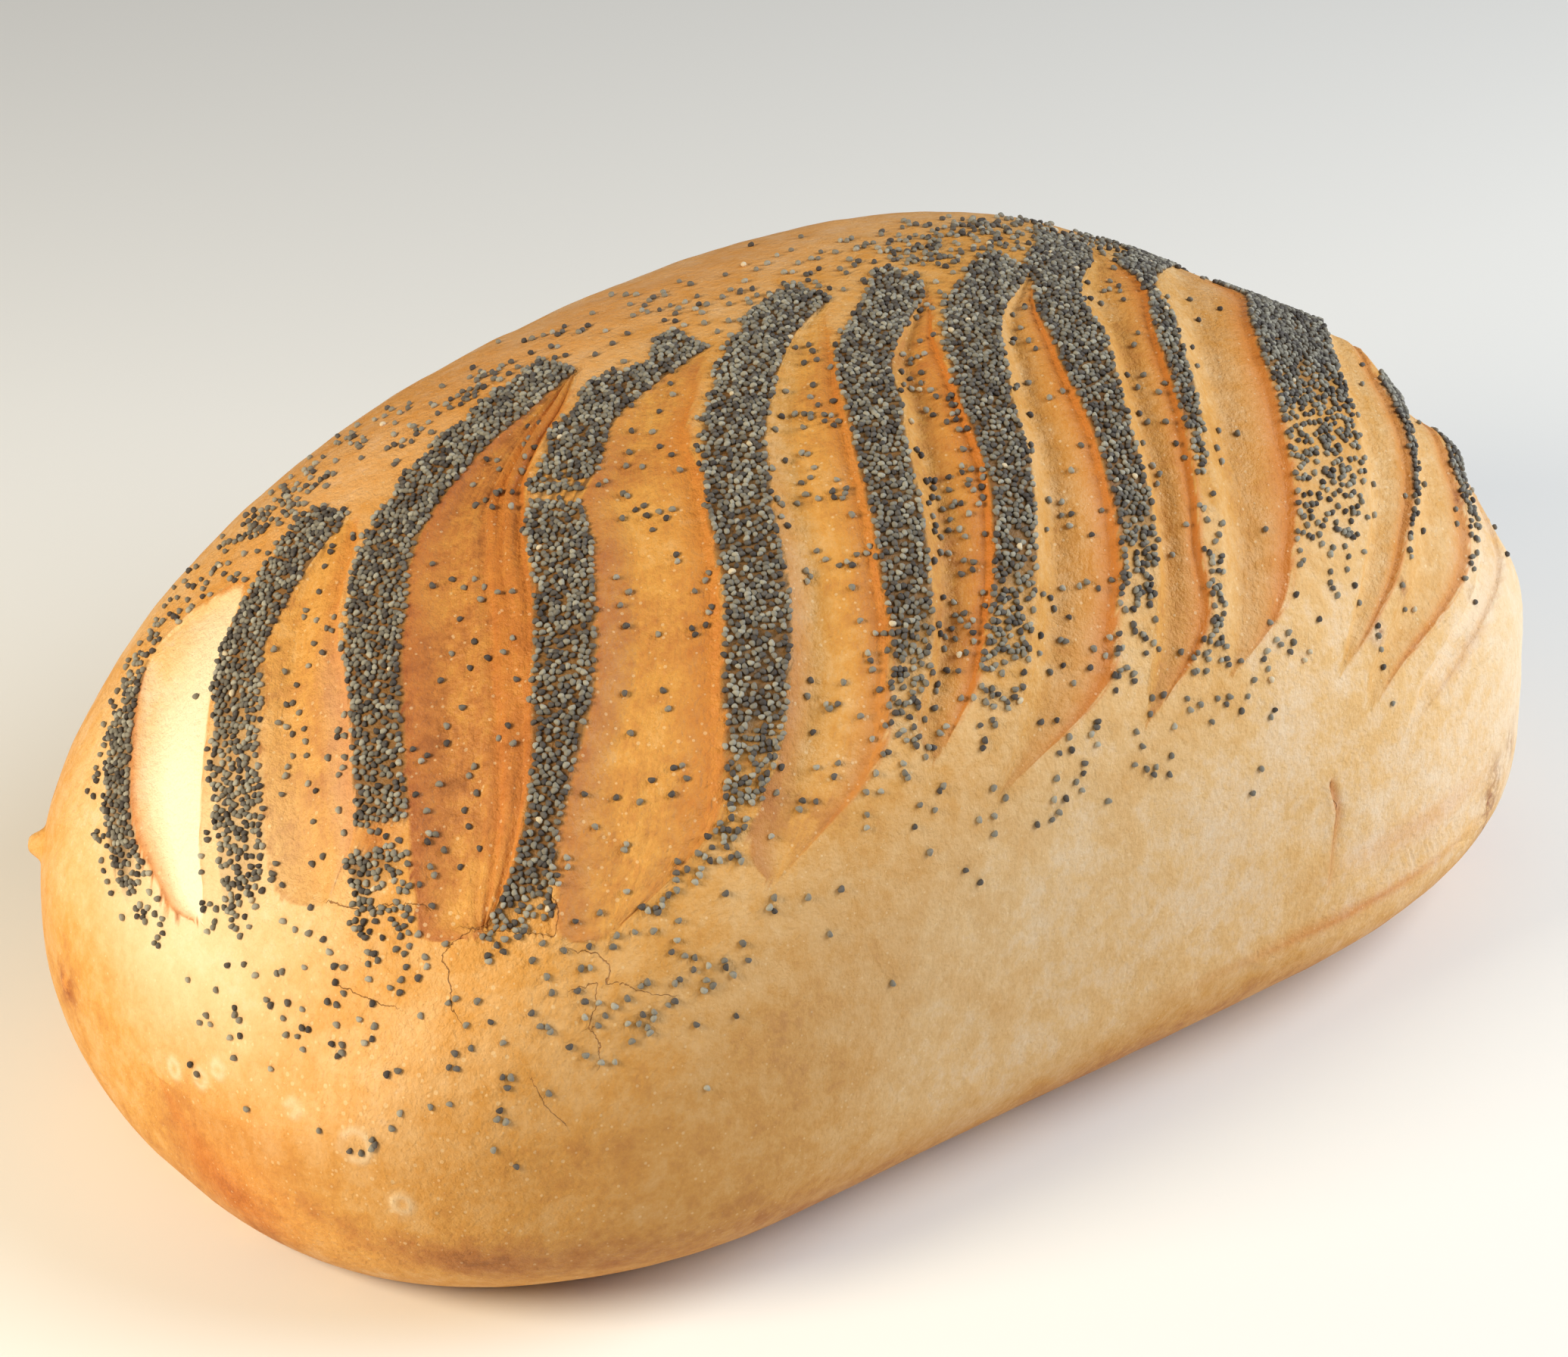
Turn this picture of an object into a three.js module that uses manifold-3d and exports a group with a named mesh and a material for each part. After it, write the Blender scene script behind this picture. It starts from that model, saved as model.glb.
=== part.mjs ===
// A poppy seed bloomer: one baked loaf, slashed across the top, with seeds fused to its skin.
// Millimetres, +Z up. The long axis is X, with the near end at -X. The slashed side faces -Y.
// The loaf rests on z = 0 and its box's bottom centre is the origin.

import * as THREE from 'three';
import { mergeVertices } from 'three/addons/utils/BufferGeometryUtils.js';
import Module from 'manifold-3d';

// ---------------------------------------------------------------- body of the loaf
const HALF_LENGTH = 130.5;
const FRONT_HALF_WIDTH = 80;
const BACK_HALF_WIDTH = 86;
const CROWN_HEIGHT = 111.6;
const BELLY_HEIGHT = 24;
const UNDERSIDE_CUT = 11.3; // how far the round underside would reach below the table
const TOP_LEAN = 2.9; // the crown leans this far back
const RISE_TO_FAR_END = 0.06; // the far half stands taller by this share
const FRONT_SPREAD = 0.02;
const BACK_SPREAD = 0.11;
const CENTRE_SHIFT = new THREE.Vector3(0, -3, 0); // puts the box's bottom centre on the origin

// Roundness of the outlines: 2 is an ellipse, higher is squarer.
const FRONT_ROUNDNESS = { near: 3.6, far: 3.6 };
const BACK_ROUNDNESS = { near: 3.25, far: 2.1 };
const CROWN_ROUNDNESS = { near: 2.08, far: 2.44 };
const UNDERSIDE_ROUNDNESS = 4.2;
const SECTION_ROUNDNESS = 2.5;
const UNDERSIDE_SECTION_ROUNDNESS = 2.2;

// ---------------------------------------------------------------- slashes
// Places on the skin are [along, around] in degrees. Along runs from 0 at the near end to 180 at
// the far end. Around runs from 0 at the front of the belly over 90, the crown, to 180, the back.
// Each slash is a row of stations from its bottom tip to its top tip: the place around, and its near
// and far edge along.
const SLASHES = [
  [[87, 18.5, 18.5], [91, 17.5, 24], [98, 19, 32], [105, 21, 40], [109, 23, 46], [115, 29, 44],
    [119, 33, 42], [122.5, 38, 38]],
  [[69, 28, 28], [73, 26, 33.5], [80, 26, 38], [88, 31.5, 43.3], [94, 38.5, 48.5],
    [100, 45, 54.5], [103, 55, 55]],
  [[47, 37, 37], [51, 33.3, 41], [60, 34.5, 47], [70, 38.5, 52], [80, 43.6, 57.5], [90, 52, 64],
    [96, 63, 73], [99.5, 76, 76]],
  [[36, 46, 46], [39, 43, 54.5], [46, 44, 60], [55, 48, 63.2], [65, 55, 67.3], [80, 63, 73.2],
    [88, 68.5, 77.3], [91.5, 76, 82], [93, 84, 84]],
  [[30.5, 60, 60], [35, 59, 68.5], [45, 64.6, 74.3], [60, 71, 79], [75, 76.3, 84],
    [85, 82.5, 88.5], [90, 88.5, 92], [92.5, 95, 95]],
  [[33.5, 75, 75], [38, 74.7, 79.3], [45, 78, 83], [60, 83, 89.3], [75, 88.5, 93.7],
    [86, 95.2, 98.3], [90.5, 102, 102]],
  [[26.5, 79.5, 79.5], [31, 81.3, 88.5], [40, 85.2, 93.5], [60, 93, 99.6], [75, 98.4, 103.5],
    [85, 105, 107.8], [89, 111, 111]],
  [[26.5, 93, 93], [32, 94.6, 99.2], [45, 99.2, 103.3], [60, 102.8, 108.3], [75, 108.4, 113.8],
    [86, 113.8, 120], [91, 121, 121]],
  [[27.5, 101.5, 101.5], [31, 102, 106.5], [40, 104, 112], [60, 110, 119.3], [75, 116.3, 126],
    [86, 123, 134.5], [92, 134, 134]],
  [[22.5, 112.5, 112.5], [27, 114.5, 117.8], [40, 121.5, 128], [60, 129.5, 138], [72, 136, 142.3],
    [80, 142, 147.5], [85, 150, 150]],
  [[17.5, 115.5, 115.5], [21, 115.7, 120.5], [28, 121, 132], [40, 129, 139.4], [52, 136, 144],
    [62, 142.5, 149.5], [71, 156, 156]],
  [[13, 119.5, 119.5], [18, 122.5, 129], [27, 134.5, 142], [37, 141, 148.5], [50, 146.5, 153],
    [64, 161, 161]],
];
const SLASH_DEPTH = 2.5;
const DEPTH_TAPER_POWER = 3;
const NEAR_WALL = 0.32; // share of a slash's width taken by the wall that faces the far end
const CREASE = 0.9; // where across the slash the crease beside its far lip starts
const CREASE_DEPTH = 0.45; // how deep the crease is, as a share of the slash's depth
const FLOOR_CROWN = 0.3; // how far the floor bulges up, as a share of the depth

// ---------------------------------------------------------------- unevenness of the skin
// Broad bulges: where, how wide in degrees, and how high.
const BULGES = [
  { at: [52, -26], spread: [11, 30], height: 2.4 },
  { at: [76, -22], spread: [13, 30], height: -2 },
  { at: [118, -20], spread: [12, 25], height: 1.6 },
  { at: [134, 98], spread: [12, 14], height: -1.8 },
  { at: [24, -50], spread: [10, 22], height: -1.5 },
  { at: [141.5, 75], spread: [6, 8], height: 3.2 },
  { at: [148, 52], spread: [5, 6], height: 1.7 },
  { at: [151, 26], spread: [8, 10], height: 2.4 },
];
// A faint ripple over the whole skin: height, waves per turn and where each wave starts.
const RIPPLE = { height: 0.5, along: 5, alongStart: 20, around: 3, aroundStart: -40 };
const END_FADE = 0.5; // how quickly relief grows from nothing at the two tips

// ---------------------------------------------------------------- grid that follows the slashes
const SLASH_LINES = [0, NEAR_WALL, 0.5, CREASE, 1];
const SLASH_LINE_MIN_WIDTH = 1.6;
const NEAR_CAP_COLUMNS = 5;
const FAR_CAP_COLUMNS = 5;
const LOWER_ROWS = 3;
const SIDE_ROWS = [0, 8, 16];
const SLASHED_ROWS = { from: 22, to: 106, step: 6 };
const BACK_ROWS = [113, 121, 132, 144, 156, 168, 180];
const UNDER_TURN = 60; // how far round the underside a slash's line has come at the base's edge
const LIFTED_EDGE = 80; // how far under the loaf the last row goes where the end lifts clear

// ---------------------------------------------------------------- seeds
const SEED_RADII = [0.68, 0.52, 0.46];
const SEED_LIFT = 0.12;
const DROP_HEIGHT = 6; // a lump is dropped onto the facets from this far above the skin
const SEED_SPACING = 7.2;
const SEED_LIMIT = 150;
// The sown band of skin, from its lower to its upper edge, which is higher towards the near end.
const SEED_BAND = { from: 34, to: 96, nearTo: 116, nearUpTo: 60 };
const SEED_TRIES = 40000;
const SEED_CLEAR_OF_EDGE = 1; // in degrees along
const RANDOM_SEED = 20240611;

// ---------------------------------------------------------------- small crags of the crust
const NIB = { at: [24, 163], radii: [2.7, 2.4, 2.6], lift: 0.8, spin: 0 };
const FLAP = { at: [41, 45], radii: [5.5, 2.4, 0.9], lift: 0.3, spin: 0.4 };
const CRAG_DETAIL = 1;
const SEED_DETAIL = 0;

const CRUST = { color: 0xd9a05b, roughness: 0.6, metalness: 0 };

const rad = THREE.MathUtils.degToRad;

function signedPower(value, power) {
  return Math.sign(value) * Math.abs(value) ** power;
}

// Share of full width or height left at a station, for a squarish round end.
function endShare(station, roundness) {
  return Math.max(0, 1 - Math.abs(station) ** roundness) ** (1 / roundness);
}

// The smooth loaf before it was slashed.
function smoothPoint(along, around) {
  const station = -Math.cos(rad(along));
  const end = station < 0 ? 'near' : 'far';
  const c = Math.cos(rad(around));
  const s = Math.sin(rad(around));
  const rise = endShare(station, CROWN_ROUNDNESS[end]);
  const width =
    c > 0
      ? FRONT_HALF_WIDTH * endShare(station, FRONT_ROUNDNESS[end]) * (1 + FRONT_SPREAD * station)
      : BACK_HALF_WIDTH * endShare(station, BACK_ROUNDNESS[end]) * (1 + BACK_SPREAD * station);
  const roundness = s > 0 ? SECTION_ROUNDNESS : UNDERSIDE_SECTION_ROUNDNESS;
  const up = Math.abs(s) ** (2 / roundness);
  const height =
    s > 0
      ? (CROWN_HEIGHT * (1 + RISE_TO_FAR_END * station) - BELLY_HEIGHT) * rise
      : -(BELLY_HEIGHT + UNDERSIDE_CUT) * endShare(station, UNDERSIDE_ROUNDNESS);
  const lean = s > 0 ? TOP_LEAN * up * rise : 0;
  return new THREE.Vector3(
    HALF_LENGTH * station,
    lean - width * signedPower(c, 2 / roundness),
    BELLY_HEIGHT + height * up,
  );
}

function smoothNormal(along, around) {
  const step = 0.25;
  const place = THREE.MathUtils.clamp(along, 2 * step, 180 - 2 * step);
  const ahead = smoothPoint(place + step, around).sub(smoothPoint(place - step, around));
  const round = smoothPoint(place, around + step).sub(smoothPoint(place, around - step));
  return round.cross(ahead).normalize().negate();
}

// How steeply a curve through the stations' values climbs at one of them.
function slopeAt(stations, column, index) {
  const rise = (from, to) =>
    (stations[to][column] - stations[from][column]) / (stations[to][0] - stations[from][0]);
  if (index === 0) {
    return rise(0, 1);
  }
  if (index === stations.length - 1) {
    return rise(index - 1, index);
  }
  const before = stations[index][0] - stations[index - 1][0];
  const after = stations[index + 1][0] - stations[index][0];
  return (before * rise(index, index + 1) + after * rise(index - 1, index)) / (before + after);
}

// A smooth curve through one column of the stations, held at its end values beyond them.
function curveAt(stations, column, around) {
  const next = stations.findIndex((station) => station[0] >= around);
  const end = THREE.MathUtils.clamp(next < 0 ? stations.length - 1 : next, 1, stations.length - 1);
  const start = end - 1;
  const step = stations[end][0] - stations[start][0];
  const t = THREE.MathUtils.clamp((around - stations[start][0]) / step, 0, 1);
  return (
    stations[start][column] * (1 + 2 * t) * (1 - t) ** 2 +
    slopeAt(stations, column, start) * step * t * (1 - t) ** 2 +
    stations[end][column] * (3 - 2 * t) * t * t -
    slopeAt(stations, column, end) * step * t * t * (1 - t)
  );
}

// Centre line, half width and depth of a slash at a place around the loaf. Beyond its tips it has
// no width.
function slashAt(slash, around) {
  const near = curveAt(slash, 1, around);
  const far = curveAt(slash, 2, around);
  const [first, last] = [slash[0][0], slash.at(-1)[0]];
  const reach = Math.min(1, Math.abs(2 * around - first - last) / (last - first));
  return {
    centre: (near + far) / 2,
    half: reach < 1 ? Math.max(0, far - near) / 2 : 0,
    depth: SLASH_DEPTH * (1 - reach ** DEPTH_TAPER_POWER),
  };
}

// Height of the torn surface across a slash: 0 at its lips, -1 at the foot of its near wall.
function slashProfile(across) {
  if (across < NEAR_WALL) {
    return -THREE.MathUtils.smoothstep(across, 0, NEAR_WALL);
  }
  if (across > CREASE) {
    return CREASE_DEPTH * (THREE.MathUtils.smoothstep(across, CREASE, 1) - 1);
  }
  const share = (across - NEAR_WALL) / (CREASE - NEAR_WALL);
  const rise = THREE.MathUtils.smoothstep(share, 0, 1);
  return (1 - CREASE_DEPTH) * rise + FLOOR_CROWN * share * Math.sin(Math.PI * share) - 1;
}

function slashDepth(along, around) {
  for (const slash of SLASHES) {
    const { centre, half, depth } = slashAt(slash, around);
    const across = (along - centre) / (2 * half) + 0.5;
    if (half > 0 && across > 0 && across < 1) {
      return depth * slashProfile(across);
    }
  }
  return 0;
}

function unevenness(along, around) {
  const wave = Math.sin(rad(RIPPLE.along * along + RIPPLE.alongStart));
  const crossWave = Math.sin(rad(RIPPLE.around * around + RIPPLE.aroundStart));
  let height = RIPPLE.height * wave * crossWave;
  for (const { at, spread, height: bulge } of BULGES) {
    const x = (along - at[0]) / spread[0];
    const y = (around - at[1]) / spread[1];
    height += bulge * Math.exp(-x * x - y * y);
  }
  return height;
}

// The finished skin: the smooth loaf, its bulges and its slashes, resting flat on z = 0.
function skinPoint(along, around) {
  const lift = slashDepth(along, around) + unevenness(along, around);
  const point = smoothPoint(along, around);
  const ends = Math.sin(rad(along)) ** END_FADE;
  const ground = Math.min(1, Math.max(0, point.z) / BELLY_HEIGHT);
  point.addScaledVector(smoothNormal(along, around), lift * ends * ground);
  point.z = Math.max(0, point.z);
  return point.add(CENTRE_SHIFT);
}

// One grid line along a slash, carried on round the back and the underside to where it began.
function slashLine(slash, share, around) {
  const [topAround, topAlong] = slash.at(-1);
  const [bottomAround, bottomAlong] = slash[0];
  const back = around < bottomAround ? around + 360 : around;
  const away = THREE.MathUtils.smoothstep(back, topAround, bottomAround + 360);
  const { centre, half } = slashAt(slash, around);
  const middle = back > topAround ? THREE.MathUtils.lerp(topAlong, bottomAlong, away) : centre;
  return middle + (share - 0.5) * Math.max(2 * half, SLASH_LINE_MIN_WIDTH);
}

// Every grid line, from the near end to the far end, as places along at one place around.
function gridLines(around) {
  const lines = [];
  SLASHES.forEach((slash, index) => {
    const places = SLASH_LINES.map((share) => slashLine(slash, share, around));
    if (index > 0) {
      lines.push((lines.at(-1) + places[0]) / 2);
    }
    lines.push(...places);
  });
  const first = lines[0];
  const last = lines.at(-1);
  const near = Array.from({ length: NEAR_CAP_COLUMNS }, (_, i) => (first * i) / NEAR_CAP_COLUMNS);
  const far = Array.from(
    { length: FAR_CAP_COLUMNS },
    (_, i) => last + ((180 - last) * (i + 1)) / FAR_CAP_COLUMNS,
  );
  return [...near, ...lines, ...far];
}

// Where the round underside meets the flat base, in degrees under the belly.
function baseEdge(along) {
  const depth = (BELLY_HEIGHT + UNDERSIDE_CUT) * endShare(-Math.cos(rad(along)), UNDERSIDE_ROUNDNESS);
  const share = Math.min(1, BELLY_HEIGHT / Math.max(depth, 1e-6)) ** (UNDERSIDE_SECTION_ROUNDNESS / 2);
  return Math.min(LIFTED_EDGE, THREE.MathUtils.radToDeg(Math.asin(share)));
}

// Rows around the loaf. A lower row is a share of the way from the belly to the base's edge.
function gridRows() {
  const rows = [];
  for (const around of SIDE_ROWS) {
    rows.push({ around, under: 0 });
  }
  for (let around = SLASHED_ROWS.from; around <= SLASHED_ROWS.to; around += SLASHED_ROWS.step) {
    rows.push({ around, under: 0 });
  }
  for (const around of BACK_ROWS) {
    rows.push({ around, under: 0 });
  }
  for (let i = 1; i <= LOWER_ROWS; i += 1) {
    rows.push({ around: 180, under: i / LOWER_ROWS });
  }
  for (let i = LOWER_ROWS; i >= 1; i -= 1) {
    rows.push({ around: 0, under: -i / LOWER_ROWS });
  }
  return rows;
}

function toManifold(wasm, geometry) {
  const bare = geometry.clone();
  bare.deleteAttribute('normal');
  bare.deleteAttribute('uv');
  const merged = mergeVertices(bare, 1e-4);
  return new wasm.Manifold(
    new wasm.Mesh({
      numProp: 3,
      vertProperties: new Float32Array(merged.attributes.position.array),
      triVerts: new Uint32Array(merged.index.array),
    }),
  );
}

function toGeometry(solid) {
  const mesh = solid.getMesh();
  const geometry = new THREE.BufferGeometry();
  geometry.setAttribute('position', new THREE.BufferAttribute(mesh.vertProperties, 3));
  geometry.setIndex(new THREE.BufferAttribute(mesh.triVerts, 1));
  geometry.computeVertexNormals();
  return geometry;
}

// A sphere's grid, with its poles at the loaf's ends, moved onto the finished skin.
function loafGeometry() {
  const rows = gridRows();
  const columns = gridLines(0).length;
  const geometry = new THREE.SphereGeometry(1, rows.length, columns - 1);
  const position = geometry.attributes.position;
  for (let column = 0; column < columns; column += 1) {
    for (let i = 0; i <= rows.length; i += 1) {
      const row = rows[i % rows.length];
      const along = gridLines(row.around + UNDER_TURN * row.under)[column];
      const point = skinPoint(along, row.around + row.under * baseEdge(along));
      position.setXYZ(column * (rows.length + 1) + i, point.x, point.y, point.z);
    }
  }
  return geometry;
}

// A small lump of the crust or a seed: an ellipsoid lying on the body's facets, turned by spin.
function lump(body, { at, radii, lift, spin }, detail) {
  const geometry = new THREE.IcosahedronGeometry(1, detail);
  const normal = smoothNormal(at[0], at[1]);
  const above = skinPoint(at[0], at[1]).addScaledVector(normal, DROP_HEIGHT);
  const down = new THREE.Raycaster(above, normal.clone().negate());
  const place = down.intersectObject(body)[0].point.addScaledVector(normal, lift);
  const stand = new THREE.Quaternion().setFromUnitVectors(new THREE.Vector3(0, 0, 1), normal);
  const turn = new THREE.Quaternion().setFromAxisAngle(new THREE.Vector3(0, 0, 1), spin);
  geometry.applyMatrix4(
    new THREE.Matrix4().compose(place, stand.multiply(turn), new THREE.Vector3(...radii)),
  );
  return geometry;
}

function randomSource(state) {
  let current = state;
  return () => {
    current = (Math.imul(current, 1664525) + 1013904223) >>> 0;
    return current / 2 ** 32;
  };
}

// True on the unslashed skin between two slashes.
function onStrip(along, around) {
  return SLASHES.every((slash) => {
    const { centre, half } = slashAt(slash, around);
    return half === 0 || Math.abs(along - centre) > half + SEED_CLEAR_OF_EDGE;
  });
}

// Seeds spread evenly over the strips of skin, at least SEED_SPACING apart.
function seedPlaces(random) {
  const places = [];
  for (let tries = 0; tries < SEED_TRIES && places.length < SEED_LIMIT; tries += 1) {
    const around = THREE.MathUtils.lerp(SEED_BAND.from, SEED_BAND.nearTo, random());
    const along = THREE.MathUtils.lerp(SLASHES[0][0][1], SLASHES.at(-1).at(-1)[1], random());
    const point = skinPoint(along, around);
    const inBand = along < SEED_BAND.nearUpTo || around < SEED_BAND.to;
    const clear = places.every((other) => other.point.distanceTo(point) > SEED_SPACING);
    if (inBand && clear && onStrip(along, around)) {
      places.push({ at: [along, around], point });
    }
  }
  return places;
}

const wasm = await Module();
wasm.setup();

const body = new THREE.Mesh(loafGeometry());
let loaf = toManifold(wasm, body.geometry);
for (const crag of [NIB, FLAP]) {
  loaf = loaf.add(toManifold(wasm, lump(body, crag, CRAG_DETAIL)));
}
const random = randomSource(RANDOM_SEED);
for (const { at } of seedPlaces(random)) {
  const seed = { at, radii: SEED_RADII, lift: SEED_LIFT, spin: random() * Math.PI };
  loaf = loaf.add(toManifold(wasm, lump(body, seed, SEED_DETAIL)));
}

const mesh = new THREE.Mesh(toGeometry(loaf), new THREE.MeshStandardMaterial(CRUST));
mesh.name = 'loaf';

const group = new THREE.Group();
group.add(mesh);

export default group;
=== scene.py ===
"""A poppy seed bloomer: its baked crust and the seeds on it.

The loaf's sizes are in millimetres, and every mesh is written in metres. A place on the crust is
(along, around) in degrees. Along runs from 0 at the near end to 180 at the far end. Around runs from
0 at the front of the belly over 90, the crown, to 180, the back.
"""

import math

import bpy
import numpy as np
from mathutils import Matrix, Vector, noise
from mathutils.bvhtree import BVHTree


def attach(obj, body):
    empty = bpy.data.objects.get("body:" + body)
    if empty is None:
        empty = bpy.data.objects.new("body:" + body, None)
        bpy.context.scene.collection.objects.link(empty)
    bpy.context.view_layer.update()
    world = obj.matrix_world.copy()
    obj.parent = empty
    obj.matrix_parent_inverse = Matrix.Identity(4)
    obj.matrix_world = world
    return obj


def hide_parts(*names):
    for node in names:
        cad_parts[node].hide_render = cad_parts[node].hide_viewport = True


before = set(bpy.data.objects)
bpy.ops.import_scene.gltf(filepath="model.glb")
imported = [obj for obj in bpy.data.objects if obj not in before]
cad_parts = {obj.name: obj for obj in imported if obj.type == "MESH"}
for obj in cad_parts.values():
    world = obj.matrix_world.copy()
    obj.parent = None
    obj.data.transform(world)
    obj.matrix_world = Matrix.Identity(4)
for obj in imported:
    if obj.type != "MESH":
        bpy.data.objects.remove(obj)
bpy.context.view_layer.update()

MM = 0.001

# ---- body of the loaf, as in the CAD
HALF_LENGTH = 130.5
FRONT_HALF_WIDTH = 80
BACK_HALF_WIDTH = 86
CROWN_HEIGHT = 111.6
BELLY_HEIGHT = 24
UNDERSIDE_CUT = 11.3
TOP_LEAN = 2.9
RISE_TO_FAR_END = 0.06
FRONT_SPREAD = 0.02
BACK_SPREAD = 0.11
CENTRE_SHIFT = np.array([0.0, -3.0, 0.0])
# Roundness of the outlines towards the near end and the far end.
FRONT_ROUNDNESS = (3.6, 3.6)
BACK_ROUNDNESS = (3.25, 2.1)
CROWN_ROUNDNESS = (2.08, 2.44)
UNDERSIDE_ROUNDNESS = 4.2
SECTION_ROUNDNESS = 2.5
UNDERSIDE_SECTION_ROUNDNESS = 2.2
LIFTED_EDGE = 80  # degrees under the belly to the lower edge where the ends lift clear of the ground

# ---- slashes, as in the CAD
# Each slash is a row of stations from its bottom tip to its top tip: the place around, and its near
# and far edge along.
SLASHES = [
    [(87, 18.5, 18.5), (91, 17.5, 24), (98, 19, 32), (105, 21, 40), (109, 23, 46), (115, 29, 44),
     (119, 33, 42), (122.5, 38, 38)],
    [(69, 28, 28), (73, 26, 33.5), (80, 26, 38), (88, 31.5, 43.3), (94, 38.5, 48.5), (100, 45, 54.5),
     (103, 55, 55)],
    [(47, 37, 37), (51, 33.3, 41), (60, 34.5, 47), (70, 38.5, 52), (80, 43.6, 57.5), (90, 52, 64),
     (96, 63, 73), (99.5, 76, 76)],
    [(36, 46, 46), (39, 43, 54.5), (46, 44, 60), (55, 48, 63.2), (65, 55, 67.3), (80, 63, 73.2),
     (88, 68.5, 77.3), (91.5, 76, 82), (93, 84, 84)],
    [(30.5, 60, 60), (35, 59, 68.5), (45, 64.6, 74.3), (60, 71, 79), (75, 76.3, 84), (85, 82.5, 88.5),
     (90, 88.5, 92), (92.5, 95, 95)],
    [(33.5, 75, 75), (38, 74.7, 79.3), (45, 78, 83), (60, 83, 89.3), (75, 88.5, 93.7), (86, 95.2, 98.3),
     (90.5, 102, 102)],
    [(26.5, 79.5, 79.5), (31, 81.3, 88.5), (40, 85.2, 93.5), (60, 93, 99.6), (75, 98.4, 103.5),
     (85, 105, 107.8), (89, 111, 111)],
    [(26.5, 93, 93), (32, 94.6, 99.2), (45, 99.2, 103.3), (60, 102.8, 108.3), (75, 108.4, 113.8),
     (86, 113.8, 120), (91, 121, 121)],
    [(27.5, 101.5, 101.5), (31, 102, 106.5), (40, 104, 112), (60, 110, 119.3), (75, 116.3, 126),
     (86, 123, 134.5), (92, 134, 134)],
    [(22.5, 112.5, 112.5), (27, 114.5, 117.8), (40, 121.5, 128), (60, 129.5, 138), (72, 136, 142.3),
     (80, 142, 147.5), (85, 150, 150)],
    [(17.5, 115.5, 115.5), (21, 115.7, 120.5), (28, 121, 132), (40, 129, 139.4), (52, 136, 144),
     (62, 142.5, 149.5), (71, 156, 156)],
    [(13, 119.5, 119.5), (18, 122.5, 129), (27, 134.5, 142), (37, 141, 148.5), (50, 146.5, 153),
     (64, 161, 161)],
]
SLASH_DEPTH = 2.5
DEPTH_TAPER_POWER = 3
NEAR_WALL = 0.32
CREASE = 0.9
CREASE_DEPTH = 0.45
FLOOR_CROWN = 0.3

# ---- broad unevenness, as in the CAD
# Each bulge is: (along, around), spread in degrees, height.
BULGES = [
    ((52, -26), (11, 30), 2.4), ((76, -22), (13, 30), -2), ((118, -20), (12, 25), 1.6),
    ((134, 98), (12, 14), -1.8), ((24, -50), (10, 22), -1.5), ((141.5, 75), (6, 8), 3.2),
    ((148, 52), (5, 6), 1.7), ((151, 26), (8, 10), 2.4),
]
RIPPLE_HEIGHT = 0.5
RIPPLE_ALONG = (5, 20)  # waves per turn, and where they start
RIPPLE_AROUND = (3, -40)
END_FADE = 0.5
NORMAL_STEP = 0.25
LIP_REACH = 2  # degrees from a slash's edge that still belong to its lip
NO_SLASH = 90.0  # degrees, where no slash lies on that side
TINY = 1e-6  # keeps a division from dividing by zero

# ---- the camera
CAMERA_AZIMUTH = math.radians(-41.472)
CAMERA_ELEVATION = math.radians(30)
CAMERA_ROLL = math.radians(1.831)
CAMERA_TARGET = Vector((0.0526, 0.0621, 0))
CAMERA_DISTANCE = 0.7939
CAMERA_LENS = 94.84
CAMERA_SENSOR = 36


def signed_power(value, power):
    return np.sign(value) * np.abs(value) ** power


def smoothstep(value, low, high):
    share = np.clip((value - low) / (high - low), 0, 1)
    return share * share * (3 - 2 * share)


def blob(along, around, at, spread):
    """1 at a place on the crust, falling to 0 around it."""
    x = (along - at[0]) / spread[0]
    y = (around - at[1]) / spread[1]
    return np.exp(-x * x - y * y)


def ridge(value, at, width):
    """1 where a value is at a number, falling to 0 on both sides."""
    return np.exp(-(((value - at) / width) ** 2))


def end_share(station, roundness):
    return np.maximum(0.0, 1 - np.abs(station) ** roundness) ** (1 / roundness)


def smooth_point(along, around):
    """The smooth loaf before it was slashed, in millimetres."""
    station = -np.cos(np.radians(along))
    c, s = np.cos(np.radians(around)), np.sin(np.radians(around))

    def by_end(pair):
        return np.where(station < 0, pair[0], pair[1])

    rise = end_share(station, by_end(CROWN_ROUNDNESS))
    front = FRONT_HALF_WIDTH * end_share(station, by_end(FRONT_ROUNDNESS)) * (1 + FRONT_SPREAD * station)
    back = BACK_HALF_WIDTH * end_share(station, by_end(BACK_ROUNDNESS)) * (1 + BACK_SPREAD * station)
    roundness = np.where(s > 0, SECTION_ROUNDNESS, UNDERSIDE_SECTION_ROUNDNESS)
    up = np.abs(s) ** (2 / roundness)
    crown = (CROWN_HEIGHT * (1 + RISE_TO_FAR_END * station) - BELLY_HEIGHT) * rise
    underside = -(BELLY_HEIGHT + UNDERSIDE_CUT) * end_share(station, UNDERSIDE_ROUNDNESS)
    lean = np.where(s > 0, TOP_LEAN * up * rise, 0)
    return np.stack([
        HALF_LENGTH * station,
        lean - np.where(c > 0, front, back) * signed_power(c, 2 / roundness),
        BELLY_HEIGHT + np.where(s > 0, crown, underside) * up,
    ], -1)


def unit(vectors):
    return vectors / np.linalg.norm(vectors, axis=-1, keepdims=True)


def steps_across(along, around):
    """Millimetres that the smooth loaf goes for each degree along and for each degree around."""
    ahead = smooth_point(along + NORMAL_STEP, around) - smooth_point(along - NORMAL_STEP, around)
    turn = smooth_point(along, around + NORMAL_STEP) - smooth_point(along, around - NORMAL_STEP)
    return ahead / (2 * NORMAL_STEP), turn / (2 * NORMAL_STEP)


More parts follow.
